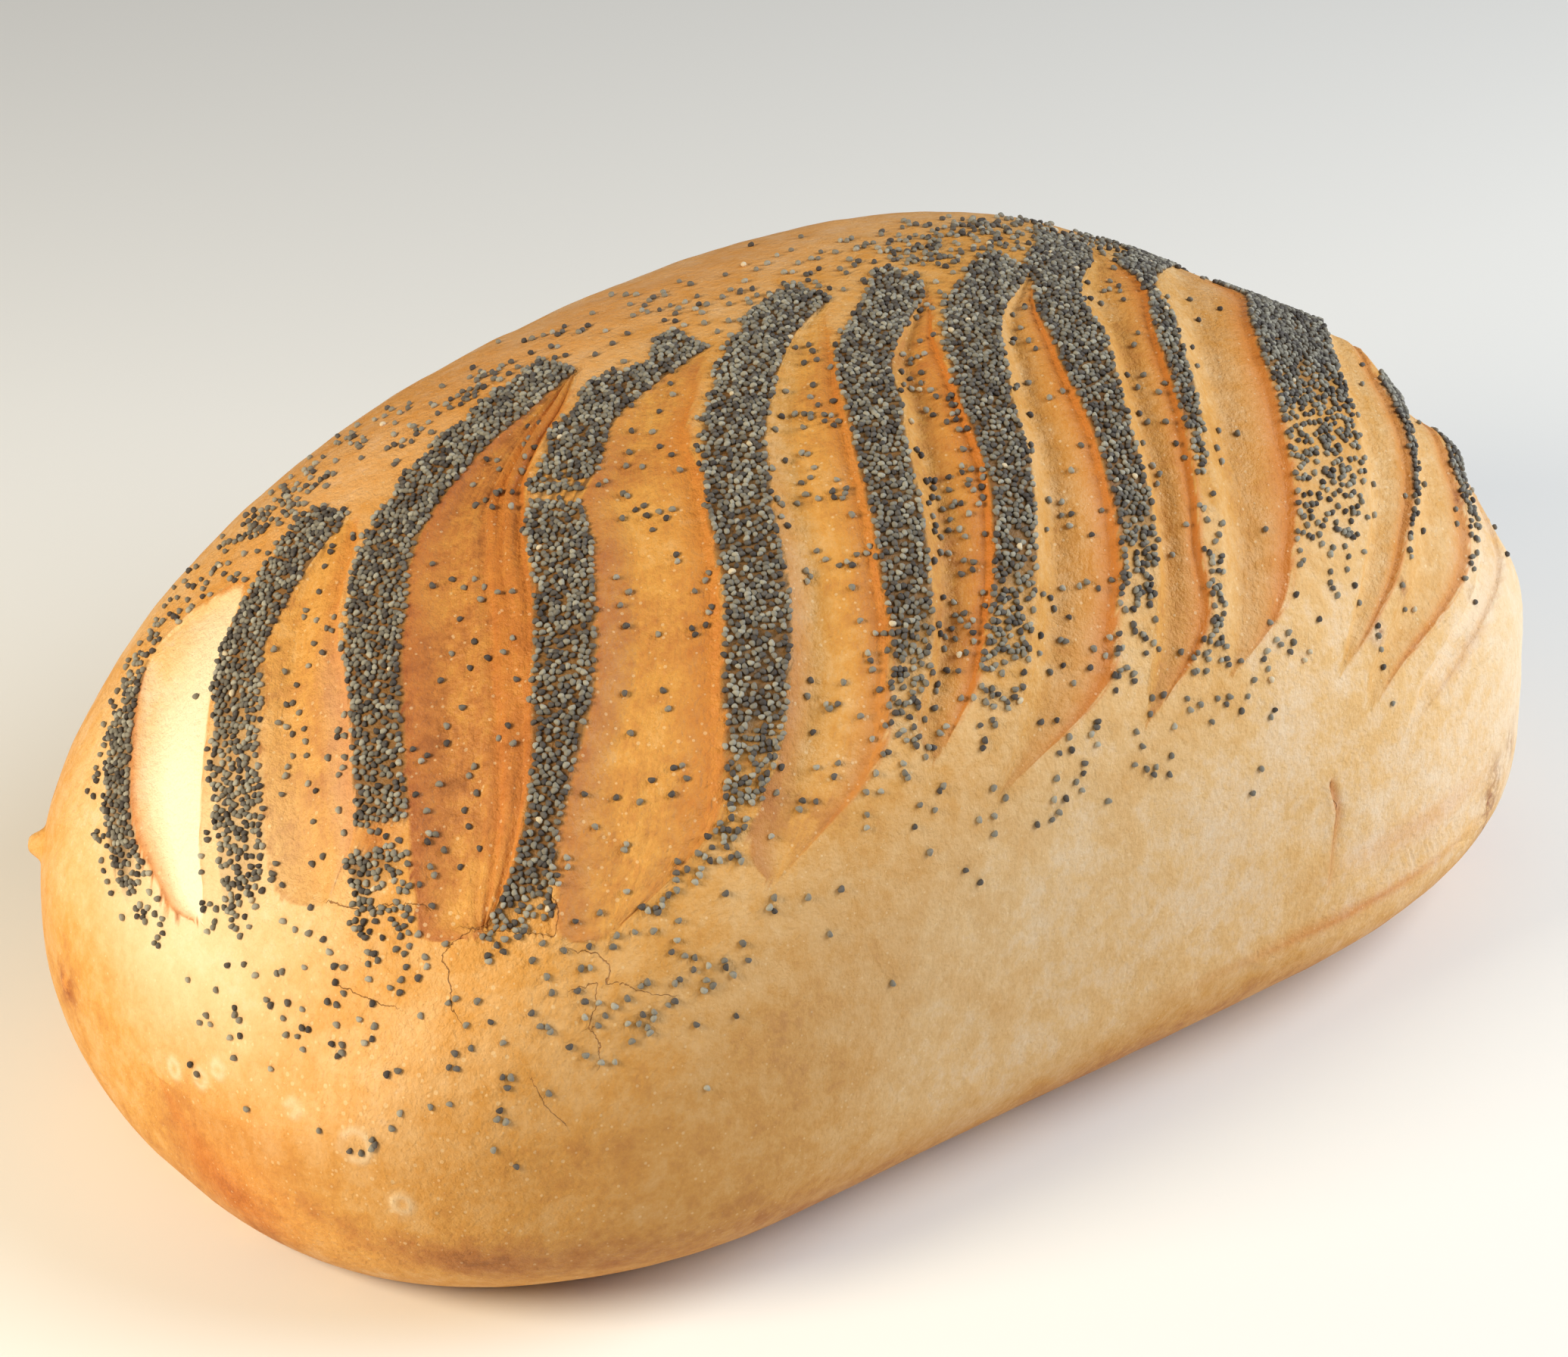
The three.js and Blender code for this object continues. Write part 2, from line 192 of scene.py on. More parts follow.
def smooth_normal(along, around):
    place = np.clip(along, 2 * NORMAL_STEP, 180 - 2 * NORMAL_STEP)
    return unit(np.cross(*steps_across(place, around)))


def curve_at(x, xs, ys):
    """A smooth curve through (xs, ys), held at its end values outside them."""
    xs, ys = np.asarray(xs, float), np.asarray(ys, float)
    slopes = np.gradient(ys, xs)
    start = np.clip(np.searchsorted(xs, x) - 1, 0, len(xs) - 2)
    step = xs[start + 1] - xs[start]
    t = np.clip((x - xs[start]) / step, 0, 1)
    return (
        ys[start] * (1 + 2 * t) * (1 - t) ** 2 + slopes[start] * step * t * (1 - t) ** 2
        + ys[start + 1] * (3 - 2 * t) * t * t - slopes[start + 1] * step * t * t * (1 - t)
    )


def slash_at(slash, around):
    """Centre line, half width and depth of a slash at each place around the loaf."""
    stations, near, far = np.array(slash, float).T
    near, far = curve_at(around, stations, near), curve_at(around, stations, far)
    middle, half_length = (stations[0] + stations[-1]) / 2, (stations[-1] - stations[0]) / 2
    reach = np.minimum(1, np.abs(around - middle) / half_length)
    half = np.where(reach < 1, np.maximum(0, far - near) / 2, 0)
    return (near + far) / 2, half, SLASH_DEPTH * (1 - reach ** DEPTH_TAPER_POWER)


def slash_profile(across):
    """Height of the torn surface across a slash: 0 at its lips, -1 at the foot of its near wall."""
    wall = -smoothstep(across, 0, NEAR_WALL)
    share = (across - NEAR_WALL) / (CREASE - NEAR_WALL)
    rise = share * share * (3 - 2 * share)
    floor = (1 - CREASE_DEPTH) * rise + FLOOR_CROWN * share * np.sin(np.pi * share) - 1
    lip = CREASE_DEPTH * (smoothstep(across, CREASE, 1) - 1)
    return np.where(across < NEAR_WALL, wall, np.where(across > CREASE, lip, floor))


class Slashed:
    """What the slashes do at each place: their relief, and how far each place is from their lips."""

    def __init__(self, along, around):
        shape = np.broadcast(along, around).shape
        self.relief = np.zeros(shape)
        self.across = np.full(shape, -1.0)  # 0 to 1 across the slash there, or -1 between slashes
        self.slash = np.full(shape, -1)
        self.strip = np.zeros(shape, int)  # how many slashes lie nearer
        self.depth = np.zeros(shape)  # how deep a slash is there, as a share of the deepest
        self.lip_depth = np.zeros(shape)  # the same for the slash beside a lip
        self.from_slash_before = np.full(shape, NO_SLASH)  # degrees past the slash on the near side
        self.from_slash_after = np.full(shape, NO_SLASH)
        for number, slash in enumerate(SLASHES):
            centre, half, depth = slash_at(slash, around)
            offset = along - centre
            share = np.where(half > 0, offset / np.maximum(2 * half, TINY) + 0.5, -1)
            inside = (share > 0) & (share < 1)
            np.copyto(self.relief, depth * slash_profile(share), where=inside)
            np.copyto(self.across, share, where=inside)
            np.copyto(self.depth, depth / SLASH_DEPTH, where=inside)
            np.copyto(self.slash, number, where=inside)
            self.strip += offset > 0
            before = np.where(half > 0, offset - half, -1)
            after = np.where(half > 0, -offset - half, -1)
            for gaps, gap in ((self.from_slash_before, before), (self.from_slash_after, after)):
                np.copyto(gaps, gap, where=(gap > 0) & (gap < gaps))
            beside = np.minimum(np.abs(before), np.abs(after)) < LIP_REACH
            np.copyto(self.lip_depth, depth / SLASH_DEPTH, where=beside & (half > 0))


def unevenness(along, around):
    wave = np.sin(np.radians(RIPPLE_ALONG[0] * along + RIPPLE_ALONG[1]))
    cross_wave = np.sin(np.radians(RIPPLE_AROUND[0] * around + RIPPLE_AROUND[1]))
    height = RIPPLE_HEIGHT * wave * cross_wave
    for at, spread, bulge in BULGES:
        height = height + bulge * blob(along, around, at, spread)
    return height


def skin_point(along, around, relief):
    """The finished crust: the smooth loaf with relief on it, resting flat on z = 0."""
    point = smooth_point(along, around)
    ends = np.sin(np.radians(along)) ** END_FADE
    ground = np.clip(point[..., 2] / BELLY_HEIGHT, 0, 1)
    point = point + smooth_normal(along, around) * (relief * ends * ground)[..., None]
    point[..., 2] = np.maximum(0, point[..., 2])
    return point + CENTRE_SHIFT


def base_edge(along):
    """Where the round underside meets the flat base, in degrees under the belly."""
    depth = (BELLY_HEIGHT + UNDERSIDE_CUT) * end_share(-np.cos(np.radians(along)), UNDERSIDE_ROUNDNESS)
    share = np.minimum(1, BELLY_HEIGHT / np.maximum(depth, TINY)) ** (UNDERSIDE_SECTION_ROUNDNESS / 2)
    return np.minimum(LIFTED_EDGE, np.degrees(np.arcsin(share)))


# ---- the crust's grid
COLUMN_STEP = 1.15  # mm between columns, at most about this
MM_PER_DEGREE = 1.75  # of a place along, on average
NEAR_CAP_COLUMNS = 30
FAR_CAP_COLUMNS = 30
CAP_CROWDING = 1.8  # how much closer the columns come towards the two tips
SLASH_LINE_MIN_WIDTH = 2.2
SLASHED_ROW_STEP = 0.72
BACK_ROW_STEP = 1.2
SLASHED_TO = 125
LOWER_ROWS = 20
EVEN_BEHIND = (120, 165)  # the columns let go of the slashes over this stretch round the back
EVEN_BELOW = 20  # and from here on down the front
UNDERSIDE_DEGREES = 60  # what the underside counts for there
GAP_SAMPLES = 12
MIN_FLOOR_COLUMNS = 3
MIN_STRIP_COLUMNS = 4
LIP_SHARES = (0, 0.04, 0.1, 0.2, NEAR_WALL)
CREASE_SHARES = (0.8, 0.85, CREASE, 0.93, 0.965, 1)


def widest(slash):
    return max(far - near for _, near, far in slash)


def widest_gap(slash, next_slash):
    """The widest strip of skin between two slashes, over the places around that both of them have."""
    start, end = max(slash[0][0], next_slash[0][0]), min(slash[-1][0], next_slash[-1][0])
    around = np.linspace(start, end, GAP_SAMPLES)
    centre, half, _ = slash_at(slash, around)
    next_centre, next_half, _ = slash_at(next_slash, around)
    return (next_centre - next_half - centre - half).max()


def slash_shares(width):
    """Where grid lines run across a slash: close together at its lips and its crease."""
    count = round(width * MM_PER_DEGREE * (CREASE_SHARES[0] - NEAR_WALL) / COLUMN_STEP)
    count = max(MIN_FLOOR_COLUMNS, count)
    floor = np.linspace(NEAR_WALL, CREASE_SHARES[0], count + 1)[1:-1]
    return np.concatenate([LIP_SHARES, floor, CREASE_SHARES])


def column_lines(around):
    """Places along of every column, one row for each place around."""
    around = around[:, None]
    lines = []
    for number, slash in enumerate(SLASHES):
        centre, half, _ = slash_at(slash, around)
        width = np.maximum(2 * half, SLASH_LINE_MIN_WIDTH)
        places = centre + (slash_shares(widest(slash)) - 0.5) * width
        if lines:
            count = round(widest_gap(SLASHES[number - 1], slash) * MM_PER_DEGREE / COLUMN_STEP)
            count = max(MIN_STRIP_COLUMNS, count)
            share = np.arange(1, count) / count
            start = lines[-1][:, -1:]
            lines.append(start + (places[:, :1] - start) * share)
        lines.append(places)
    near = lines[0][:, :1] * (np.arange(NEAR_CAP_COLUMNS) / NEAR_CAP_COLUMNS) ** CAP_CROWDING
    last = lines[-1][:, -1:]
    far_share = 1 - (np.arange(FAR_CAP_COLUMNS)[::-1] / FAR_CAP_COLUMNS) ** CAP_CROWDING
    far = last + (180 - last) * far_share
    return np.concatenate([near, *lines, far], axis=1)


def even_columns():
    """The columns' places along where they no longer follow the slashes."""
    rows = column_lines(np.array([(slash[0][0] + slash[-1][0]) / 2 for slash in SLASHES]))
    return rows.mean(axis=0)


class Grid:
    """The crust's rows and columns, with the place on the crust of each crossing."""

    def __init__(self):
        slashed = np.arange(0, SLASHED_TO, SLASHED_ROW_STEP)
        back = np.arange(SLASHED_TO, 180, BACK_ROW_STEP)
        lower = np.arange(1, LOWER_ROWS + 1) / LOWER_ROWS
        upper = np.concatenate([slashed, back, [180.0]])
        row_around = np.concatenate([upper, np.full(LOWER_ROWS, 180.0), np.zeros(LOWER_ROWS)])
        row_under = np.concatenate([0 * upper, lower, -lower[::-1]])
        even = smoothstep(row_around, *EVEN_BEHIND)
        below = EVEN_BELOW - row_around - UNDERSIDE_DEGREES * row_under
        even = np.where(row_around < EVEN_BELOW, smoothstep(below, 0, UNDERSIDE_DEGREES), even)
        self.along = column_lines(row_around)
        self.along += (even_columns() - self.along) * even[:, None]
        self.along[:, 0], self.along[:, -1] = 0, 180
        self.around = row_around[:, None] + row_under[:, None] * base_edge(self.along)
        self.rows, self.columns = self.along.shape


def grid_noise(x, y, z):
    """Smooth noise for arrays of places, about -1 to 1."""
    x, y, z = np.broadcast_arrays(x, y, z)
    flat = zip(x.ravel().tolist(), y.ravel().tolist(), z.ravel().tolist())
    values = np.fromiter((noise.noise(place) for place in flat), float, x.size)
    return values.reshape(x.shape)


def lumps(points, size):
    """Noise at points in millimetres, with lumps of a size that may differ along x, y and z."""
    return grid_noise(*(points / size).transpose(2, 0, 1))


# ---- meshes
def mesh_piece(name, points, faces, material, fields=None):
    """A smooth-shaded mesh from points in millimetres and an array of faces, with point fields."""
    mesh = bpy.data.meshes.new(name)
    points = np.asarray(points, np.float32) * MM
    faces = np.asarray(faces, np.int32)
    mesh.vertices.add(len(points))
    mesh.vertices.foreach_set("co", points.ravel())
    mesh.loops.add(faces.size)
    mesh.loops.foreach_set("vertex_index", faces.ravel())
    mesh.polygons.add(len(faces))
    mesh.polygons.foreach_set("loop_start", np.arange(0, faces.size, faces.shape[1], dtype=np.int32))
    mesh.polygons.foreach_set("use_smooth", np.ones(len(faces), bool))
    for field, values in (fields or {}).items():
        values = np.asarray(values, np.float32)
        vector = values.ndim == 2
        layer = mesh.attributes.new(field, "FLOAT_VECTOR" if vector else "FLOAT", "POINT")
        layer.data.foreach_set("vector" if vector else "value", values.ravel())
    mesh.update(calc_edges=True)
    mesh.validate()
    mesh.materials.append(material)
    piece = bpy.data.objects.new(name, mesh)
    bpy.context.scene.collection.objects.link(piece)
    return piece


# ---- materials
NOISE_RANGE = (0.3, 0.7)  # most of a noise's values lie in it


def srgb(red, green, blue):
    """A colour given as 0 to 255, as the shader's linear numbers."""
    def linear(value):
        value /= 255
        return value / 12.92 if value <= 0.04045 else ((value + 0.055) / 1.055) ** 2.4
    return (linear(red), linear(green), linear(blue), 1)


class Shader:
    """Adds nodes to one material. A value given to an input is a number, a colour or a socket."""

    def __init__(self, name):
        self.material = bpy.data.materials.new(name)
        self.material.use_nodes = True
        self.tree = self.material.node_tree
        self.surface = self.tree.nodes["Principled BSDF"]

    def add(self, kind, inputs=None, **settings):
        node = self.tree.nodes.new("ShaderNode" + kind)
        for name, value in settings.items():
            setattr(node, name, value)
        self.put(node, inputs or {})
        return node

    def put(self, node, inputs):
        for name, value in inputs.items():
            if isinstance(value, bpy.types.NodeSocket):
                self.tree.links.new(value, node.inputs[name])
            else:
                node.inputs[name].default_value = value

    def field(self, name, output="Fac"):
        return self.add("Attribute", attribute_name=name).outputs[output]

    def math(self, operation, first, second=0.0, clamp=False):
        node = self.add("Math", {0: first, 1: second}, operation=operation, use_clamp=clamp)
        return node.outputs[0]

    def span(self, value, low, high, to_low=0.0, to_high=1.0):
        """value's stretch from low to high, eased and put onto another stretch."""
        inputs = {"Value": value, "From Min": low, "From Max": high, "To Min": to_low, "To Max": to_high}
        return self.add("MapRange", inputs, interpolation_type="SMOOTHSTEP").outputs["Result"]

    def swing(self, noise, amount):
        """A noise put onto the stretch from -amount to amount."""
        return self.span(noise, *NOISE_RANGE, -amount, amount)

    def mix(self, share, first, second):
        node = self.add("Mix", data_type="RGBA")
        self.put(node, {0: share, 6: first, 7: second})
        return node.outputs[2]

    def noise(self, place, scale, detail, roughness, output="Fac"):
        inputs = {"Vector": place, "Scale": scale, "Detail": detail, "Roughness": roughness}
        return self.add("TexNoise", inputs).outputs[output]

    def cells(self, place, scale, feature):
        return self.add("TexVoronoi", {"Vector": place, "Scale": scale}, feature=feature).outputs

    def vector(self, operation, first, second):
        return self.add("VectorMath", {0: first, 1: second}, operation=operation).outputs[0]

    def ramp(self, value, stops):
        node = self.add("ValToRGB", {"Fac": value})
        while len(node.color_ramp.elements) < len(stops):
            node.color_ramp.elements.new(0.5)
        for element, (place, colour) in zip(node.color_ramp.elements, stops):
            element.position = place
            element.color = colour
        return node.outputs["Color"]

    def bump(self, height, distance, strength, below=None):
        inputs = {"Height": height, "Distance": distance, "Strength": strength}
        if below is not None:
            inputs["Normal"] = below
        return self.add("Bump", inputs).outputs["Normal"]


# The crust's colours from the palest to the darkest bake.
BAKE_STOPS = [
    (0.0, srgb(238, 208, 172)),
    (0.25, srgb(230, 184, 122)),
    (0.5, srgb(216, 156, 75)),
    (0.75, srgb(186, 120, 58)),
    (1.0, srgb(112, 56, 24)),
]
CREAM = srgb(246, 236, 206)
# Painted shade for the slashes' near walls, where the strips' lips shadow them: darker and redder.
PAINTED_WALL_SHADE = srgb(180, 104, 54)
AMBER = srgb(208, 122, 42)
# Dark scorched brown, used both for real scorch marks and as painted shade in the near lips' creases.
SCORCH_AND_LIP_SHADE = srgb(128, 52, 20)
FLECK_COLOUR = srgb(248, 226, 182)
CRACK_COLOUR = srgb(150, 92, 42)
# Painted shade for the skin under close-lying seeds, standing for the shadows between them.
PAINTED_SEED_SHADE = srgb(84, 56, 34)
# The crust's noises: scale, detail and roughness.
MOTTLE = (210, 4, 0.62)
PATCHES = (46, 3, 0.5)
SPECKLE = (620, 4, 0.7)
FIBRE = (1, 3, 0.6)
BLOTCH = (420, 3, 0.7)
PORES = (800, 4, 0.65)
GRIT = (1500, 2, 0.5)
CRACK_WANDER = (330, 3, 0.6)
CRAZE_WANDER = (300, 2, 0.5)
FIBRE_STRETCH = (0.9, 0.2, 1)  # fibres run round the loaf
# How far each noise moves the bake to either side.
MOTTLE_TONE = 0.08
PATCH_TONE = 0.08
SPECKLE_TONE = 0.06
STREAK_TONE = 0.035
SCORCHED_BLOTCH = (0.36, 0.6)  # scorching comes in over this stretch of its noise
# Pale flecks are small spots of many sizes, one in each cell.
FLECK_SCALE = 720
FLECK_EDGE = (-0.02, 0.05)
FLECK_SHARE = 0.32
# Cracks, with lengths in millimetres, and the crazed skin's lines.
CRACK_WANDER_REACH = 0.4
CRACK_HALF_WIDTH = (0.02, 0.13)
CRACK_SHARE = 0.75
CRAZE_SCALE = 210
CRAZE_WIDTH = 0.03
CRAZE_SHARE = 0.5
# Bumps: their distance in metres and their strength.
GRIT_BUMP = (0.0003, 0.5)
PORE_BUMP = (0.0011, 0.5)
MOTTLE_BUMP = (0.001, 0.3)
FIBRE_BUMP = (0.0006, 0.25)
CRACK_BUMP = (-0.0006, 0.8)
CRUST_ROUGHNESS = (0.4, 0.62)
CRUST_SPECULAR = 0.32


def crack_line(shader, place):
    """1 on the cracks and less on the crazed skin's lines."""
    wander = shader.swing(shader.noise(place, *CRACK_WANDER), CRACK_WANDER_REACH)
    away = shader.math("ABSOLUTE", shader.math("ADD", shader.field("crack_side"), wander))
    crack = shader.span(away, *CRACK_HALF_WIDTH, CRACK_SHARE, 0)
    crack = shader.math("MULTIPLY", crack, shader.field("crack_near"))
    wandered = shader.vector("ADD", place, shader.noise(place, *CRAZE_WANDER, "Color"))
    edge = shader.cells(wandered, CRAZE_SCALE, "DISTANCE_TO_EDGE")["Distance"]
    craze = shader.math("MULTIPLY", shader.span(edge, 0, CRAZE_WIDTH, 1, 0), shader.field("craze"))
    return shader.math("MAXIMUM", crack, shader.math("MULTIPLY", craze, CRAZE_SHARE))


def crust_material():
    shader = Shader("crust")
    place = shader.add("TexCoord").outputs["Object"]
    floor = shader.field("floor")
    mottle = shader.noise(place, *MOTTLE)
    fibre = shader.noise(shader.vector("MULTIPLY", shader.field("grain", "Vector"), FIBRE_STRETCH), *FIBRE)
    tone = shader.math("ADD", shader.field("bake_and_low_shade"), shader.swing(mottle, MOTTLE_TONE))
    tone = shader.math("ADD", tone, shader.swing(shader.noise(place, *PATCHES), PATCH_TONE))
    tone = shader.math("ADD", tone, shader.swing(shader.noise(place, *SPECKLE), SPECKLE_TONE))
    streak = shader.math("MULTIPLY", shader.swing(fibre, STREAK_TONE), floor)
    colour = shader.ramp(shader.math("ADD", tone, streak, clamp=True), BAKE_STOPS)
    # The near walls' reddish brown mixed in here is painted shade.
    for field, tint in (("cream", CREAM), ("painted_wall_shade", PAINTED_WALL_SHADE), ("amber", AMBER)):
        colour = shader.mix(shader.field(field), colour, tint)
    blotch = shader.span(shader.noise(place, *BLOTCH), *SCORCHED_BLOTCH)
    # Real scorch marks, and painted shade in the creases at the first three slashes' near lips.
    scorch_and_lip_shade = shader.math("MULTIPLY", shader.field("scorch_and_lip_shade"), blotch, clamp=True)
    colour = shader.mix(scorch_and_lip_shade, colour, SCORCH_AND_LIP_SHADE)
    cells = shader.cells(place, FLECK_SCALE, "F1")
    radius = shader.math("MULTIPLY", shader.field("flecks"), cells["Color"])
    fleck = shader.span(shader.math("SUBTRACT", cells["Distance"], radius), *FLECK_EDGE, 1, 0)
    colour = shader.mix(shader.math("MULTIPLY", fleck, FLECK_SHARE), colour, FLECK_COLOUR)
    # Painted shade where the seeds lie close, for the shadows between them.
    colour = shader.mix(shader.field("painted_seed_shade"), colour, PAINTED_SEED_SHADE)
    line = crack_line(shader, place)
    colour = shader.mix(line, colour, CRACK_COLOUR)
    skin = shader.bump(shader.noise(place, *GRIT), *GRIT_BUMP)
    skin = shader.bump(shader.noise(place, *PORES), *PORE_BUMP, skin)
    skin = shader.bump(mottle, *MOTTLE_BUMP, skin)
    skin = shader.bump(shader.math("MULTIPLY", fibre, floor), *FIBRE_BUMP, skin)
    skin = shader.bump(line, *CRACK_BUMP, skin)
    shader.put(shader.surface, {
        "Base Color": colour,
        "Roughness": shader.span(mottle, *NOISE_RANGE, *CRUST_ROUGHNESS),
        "Normal": skin,
        "Specular IOR Level": CRUST_SPECULAR,
    })
    return shader.material


# Seed kinds: share of all seeds, and their two colours.
SEED_KINDS = {
    "slate": (0.36, srgb(106, 100, 91), srgb(147, 141, 128)),
    "dusky": (0.32, srgb(70, 63, 60), srgb(107, 101, 95)),
    "pale": (0.315, srgb(131, 126, 115), srgb(179, 174, 159)),
    "cream": (0.005, srgb(206, 190, 160), srgb(232, 214, 184)),
}


SEED_NET_SCALE = 4500
SEED_RIDGE_WIDTH = 0.12
SEED_RIDGE_TONE = (-0.1, 0.2)
SEED_BUMP = (0.00006, 0.6)
SEED_ROUGHNESS = 0.62
SEED_SPECULAR = 0.35


def seed_material(kind, dark, light):
    shader = Shader("poppy_seed_" + kind)
    place = shader.add("TexCoord").outputs["Object"]
    net = shader.cells(place, SEED_NET_SCALE, "DISTANCE_TO_EDGE")
    ridges = shader.span(net["Distance"], 0, SEED_RIDGE_WIDTH, 1, 0)
    tone = shader.math("ADD", shader.field("tone"), shader.span(ridges, 0, 1, *SEED_RIDGE_TONE), clamp=True)
    shader.put(shader.surface, {
        "Base Color": shader.mix(tone, dark, light),
        "Roughness": SEED_ROUGHNESS,
        "Normal": shader.bump(ridges, *SEED_BUMP),
        "Specular IOR Level": SEED_SPECULAR,
    })
    return shader.material


# ---- the crust
# Relief in millimetres.
FIBRE_HEIGHT = 0.07
FIBRE_SIZE = (2.2, 14)  # across a fibre and along it
FIBRE_LAYER = 3.0  # which slice of the noise they are read from
LUMP_HEIGHTS = ((11, 0.3), (4.5, 0.14))  # size of the lumps and how high they are
LIP_HEIGHT = 0.15
LIP_WIDTH = 0.8
ROW_MM_PER_DEGREE = 1.5  # of a place around, on average
# How dark the skin is baked, and at the far tip.
SKIN_BAKE = 0.47
TIP_BAKE = 0.36
TIP_STRETCH = (158, 174)
ALL = (-200, -199)  # limits that every place is past
# Stretches of skin that are baked darker or paler, the lower two partly painted shade: how much, then the
# limits along and the limits around between which that comes in.
BAKE_STRETCHES = [
    (0.04, ALL, (70, 130)),
    (-0.23, (42, 85), (62, -5)),
    # The next two darken the skin low on the belly and under it: partly a browner bake, partly painted shade
    # towards the bottom.
    (0.34, (30, 80), (-2, -26)),
    (0.12, ALL, (-20, -60)),
]
# How dark each slash's floor is baked, from the near end.
FLOOR_BAKES = (0.2, 0.56, 0.74, 0.58, 0.5, 0.56, 0.42, 0.5, 0.42, 0.39, 0.32, 0.08)
FLOOR_BAKE_SLOPE = 0.06  # how much darker a floor gets from its near lip to its far lip
PALE_FLOOR_END = ((39.5, 54), (5, 7), 0.22)  # the front end of the third floor: where, spread, how much
# Spots of colour on the crust: (along, around), spread in degrees, how much.
BAKE_SPOTS = [
    ((150, 20), (24, 30), -0.24), ((170, 40), (14, 50), -0.12), ((110, 20), (30, 24), -0.1),
    ((60, 8), (24, 12), 0.05), ((28, 22), (16, 20), -0.1), ((24, 100), (12, 26), -0.2),
    ((14, 80), (12, 40), -0.16), ((112, -12), (26, 9), 0.16), ((30, -14), (22, 9), 0.3),
    ((84, 110), (50, 15), -0.2), ((30, 135), (20, 20), -0.12), ((120, 64), (8, 18), 0.06),
]
SCORCHED = [
    ((136.8, -1), (1.7, 4), 1.0), ((136.5, -9.5), (1.7, 5), 0.7), ((142.8, 3), (1.3, 2.6), 0.6),
    ((150, -14), (8, 7), 0.5), ((118.2, 25.8), (0.8, 1.4), 0.8), ((123, 30.2), (0.7, 1.6), 0.7),
    ((134.2, 26.8), (0.7, 1), 0.6), ((139.8, 42), (1, 1.6), 0.6), ((6, -50), (2.4, 11), 0.4),
    ((1.8, -35), (1.2, 24), 0.2), ((35.3, 70.3), (2.2, 2.8), 0.4), ((8.2, -35.5), (1.6, 6), 0.3),
    ((17, -58), (7, 9), 0.2), ((9, 177), (1.4, 9), 0.8),
]
CREAMY = [
    ((76, 14), (22, 16), 0.12), ((20, 96), (13, 24), 0.38), ((12, 70), (9, 34), 0.15),
    ((147, 20), (14, 14), 0.25),
]
AMBERED = [
    ((22, 34), (22, 34), 0.15), ((84, 110), (50, 17), 0.36), ((35.3, 70.3), (2.6, 3.2), 0.45),
    ((114, -2.2), (13, 1.5), 0.7), ((122, 3), (10, 1.2), 0.3), ((9, 177), (1.4, 9), 0.6),
    ((6, -52), (7, 20), 0.7), ((4, -10), (7, 50), 0.3),
]
# Small raised things, as where they are, their radius and their height in millimetres.
KNOBS = [
    ((24, 163), 2.1, 3.6),  # the nib
    ((9, 177), 1.7, 1.2), ((6, 244.5), 0.6, 2.6), ((4.6, 238), 0.5, 1.6), ((7.4, 250), 0.5, 1.0),
    ((33, 24), 1.3, 0.35),
]
KNOB_STEEPNESS = 4
# Blisters that have sunk in the middle: where, and the ring's radius.
RINGS = [
    ((17.2, 18), 2.4), ((4.2, 62), 1.3), ((2.5, 78), 1.3), ((7, 61), 1.2), ((12, 34), 1.2), ((21, 2), 1.4),
]
RING_HEIGHT = 0.45
RING_WIDTH = 0.7
RING_CREAM = 0.4
# Cracks as places along and around that they pass through.
CRACKS = [
    [(37.8, 47.8), (34.5, 49.2), (33.2, 48), (33, 44.5), (31.8, 40), (31.8, 37)],
    [(28.5, 69), (30, 64.5), (32.5, 60.5), (34.5, 56.8)],
    [(42.2, 26), (43.2, 27.8), (44, 30.5), (45.5, 30.2), (47, 27.2), (49.5, 24.5)],
    [(43.5, 37), (45.2, 34.2), (45.8, 31.8), (45.2, 30.5), (42.2, 32)],
    [(42.2, 26), (42.8, 22.5), (42.2, 20)],
    [(24, 56), (25.5, 50), (27, 46)],
    [(36, 22), (36.5, 17), (38, 13)],
]
# A flap of crust has lifted off the front along this line, on its upper side.
FLAP_EDGE = [(36.4, 49.8), (38.2, 46.8), (40.8, 42.6), (42.2, 40.6), (43.3, 42.6), (43.8, 45.6)]
FLAP_HEIGHT = 1.5
FLAP_REACH = 2.6
PATH_STEP = 0.7  # degrees between the points that a path is measured from
MIN_PATH_POINTS = 3
CRACK_SPAN = 4  # millimetres to each side of a crack that its distance is told apart
CRACK_FADE = (0.9, 1.7)
PATH_MARGIN = 6  # degrees past a path in which its distance is measured
FAR_OFF = 99.0  # millimetres, where nothing is near
# Folds: the places that they pass through, then their depth and half width in millimetres.
FOLDS = [
    ([(110.5, 11.5), (111.2, 8.2), (110.8, 5.8), (110.2, 2.5)], 1.0, 0.8),
    ([(103, -1), (112.8, 0), (119, 1), (128, 0.5)], 0.8, 1.1),
    ([(128, 24), (132, 19), (136, 16)], 0.6, 1.6),
    ([(130.5, -4), (135, -1), (138, 3)], 0.6, 1.4),
]
# The swelling beside a fold: how far off in half widths, and its share of the fold's depth.
SWELLING_AT = 1.3
SWELLING_SHARE = 0.5
# Ridges along the slashes' floors: the slash from 0, the height, where across it and how wide, and the
# limits around between which they come in.
FLOOR_RIDGES = [
    (2, 0.9, (0.86, 0.035), (52, 62)),
    (1, 0.5, (0.9, 0.05), (92, 84)),
]
# The third floor has ribs too.
RIB_SLASH = 2
RIB_HEIGHT = 0.5
RIB_CLOSENESS = 38
RIB_SLANT = 0.2
RIBBED_ACROSS = (0.45, 0.6)
# The bottom of the fourth floor is torn.
TORN_SLASH = 3
TORN_AROUND = (56, 48)
TORN_HEIGHT = 0.55
TORN_SIZE = 1.9
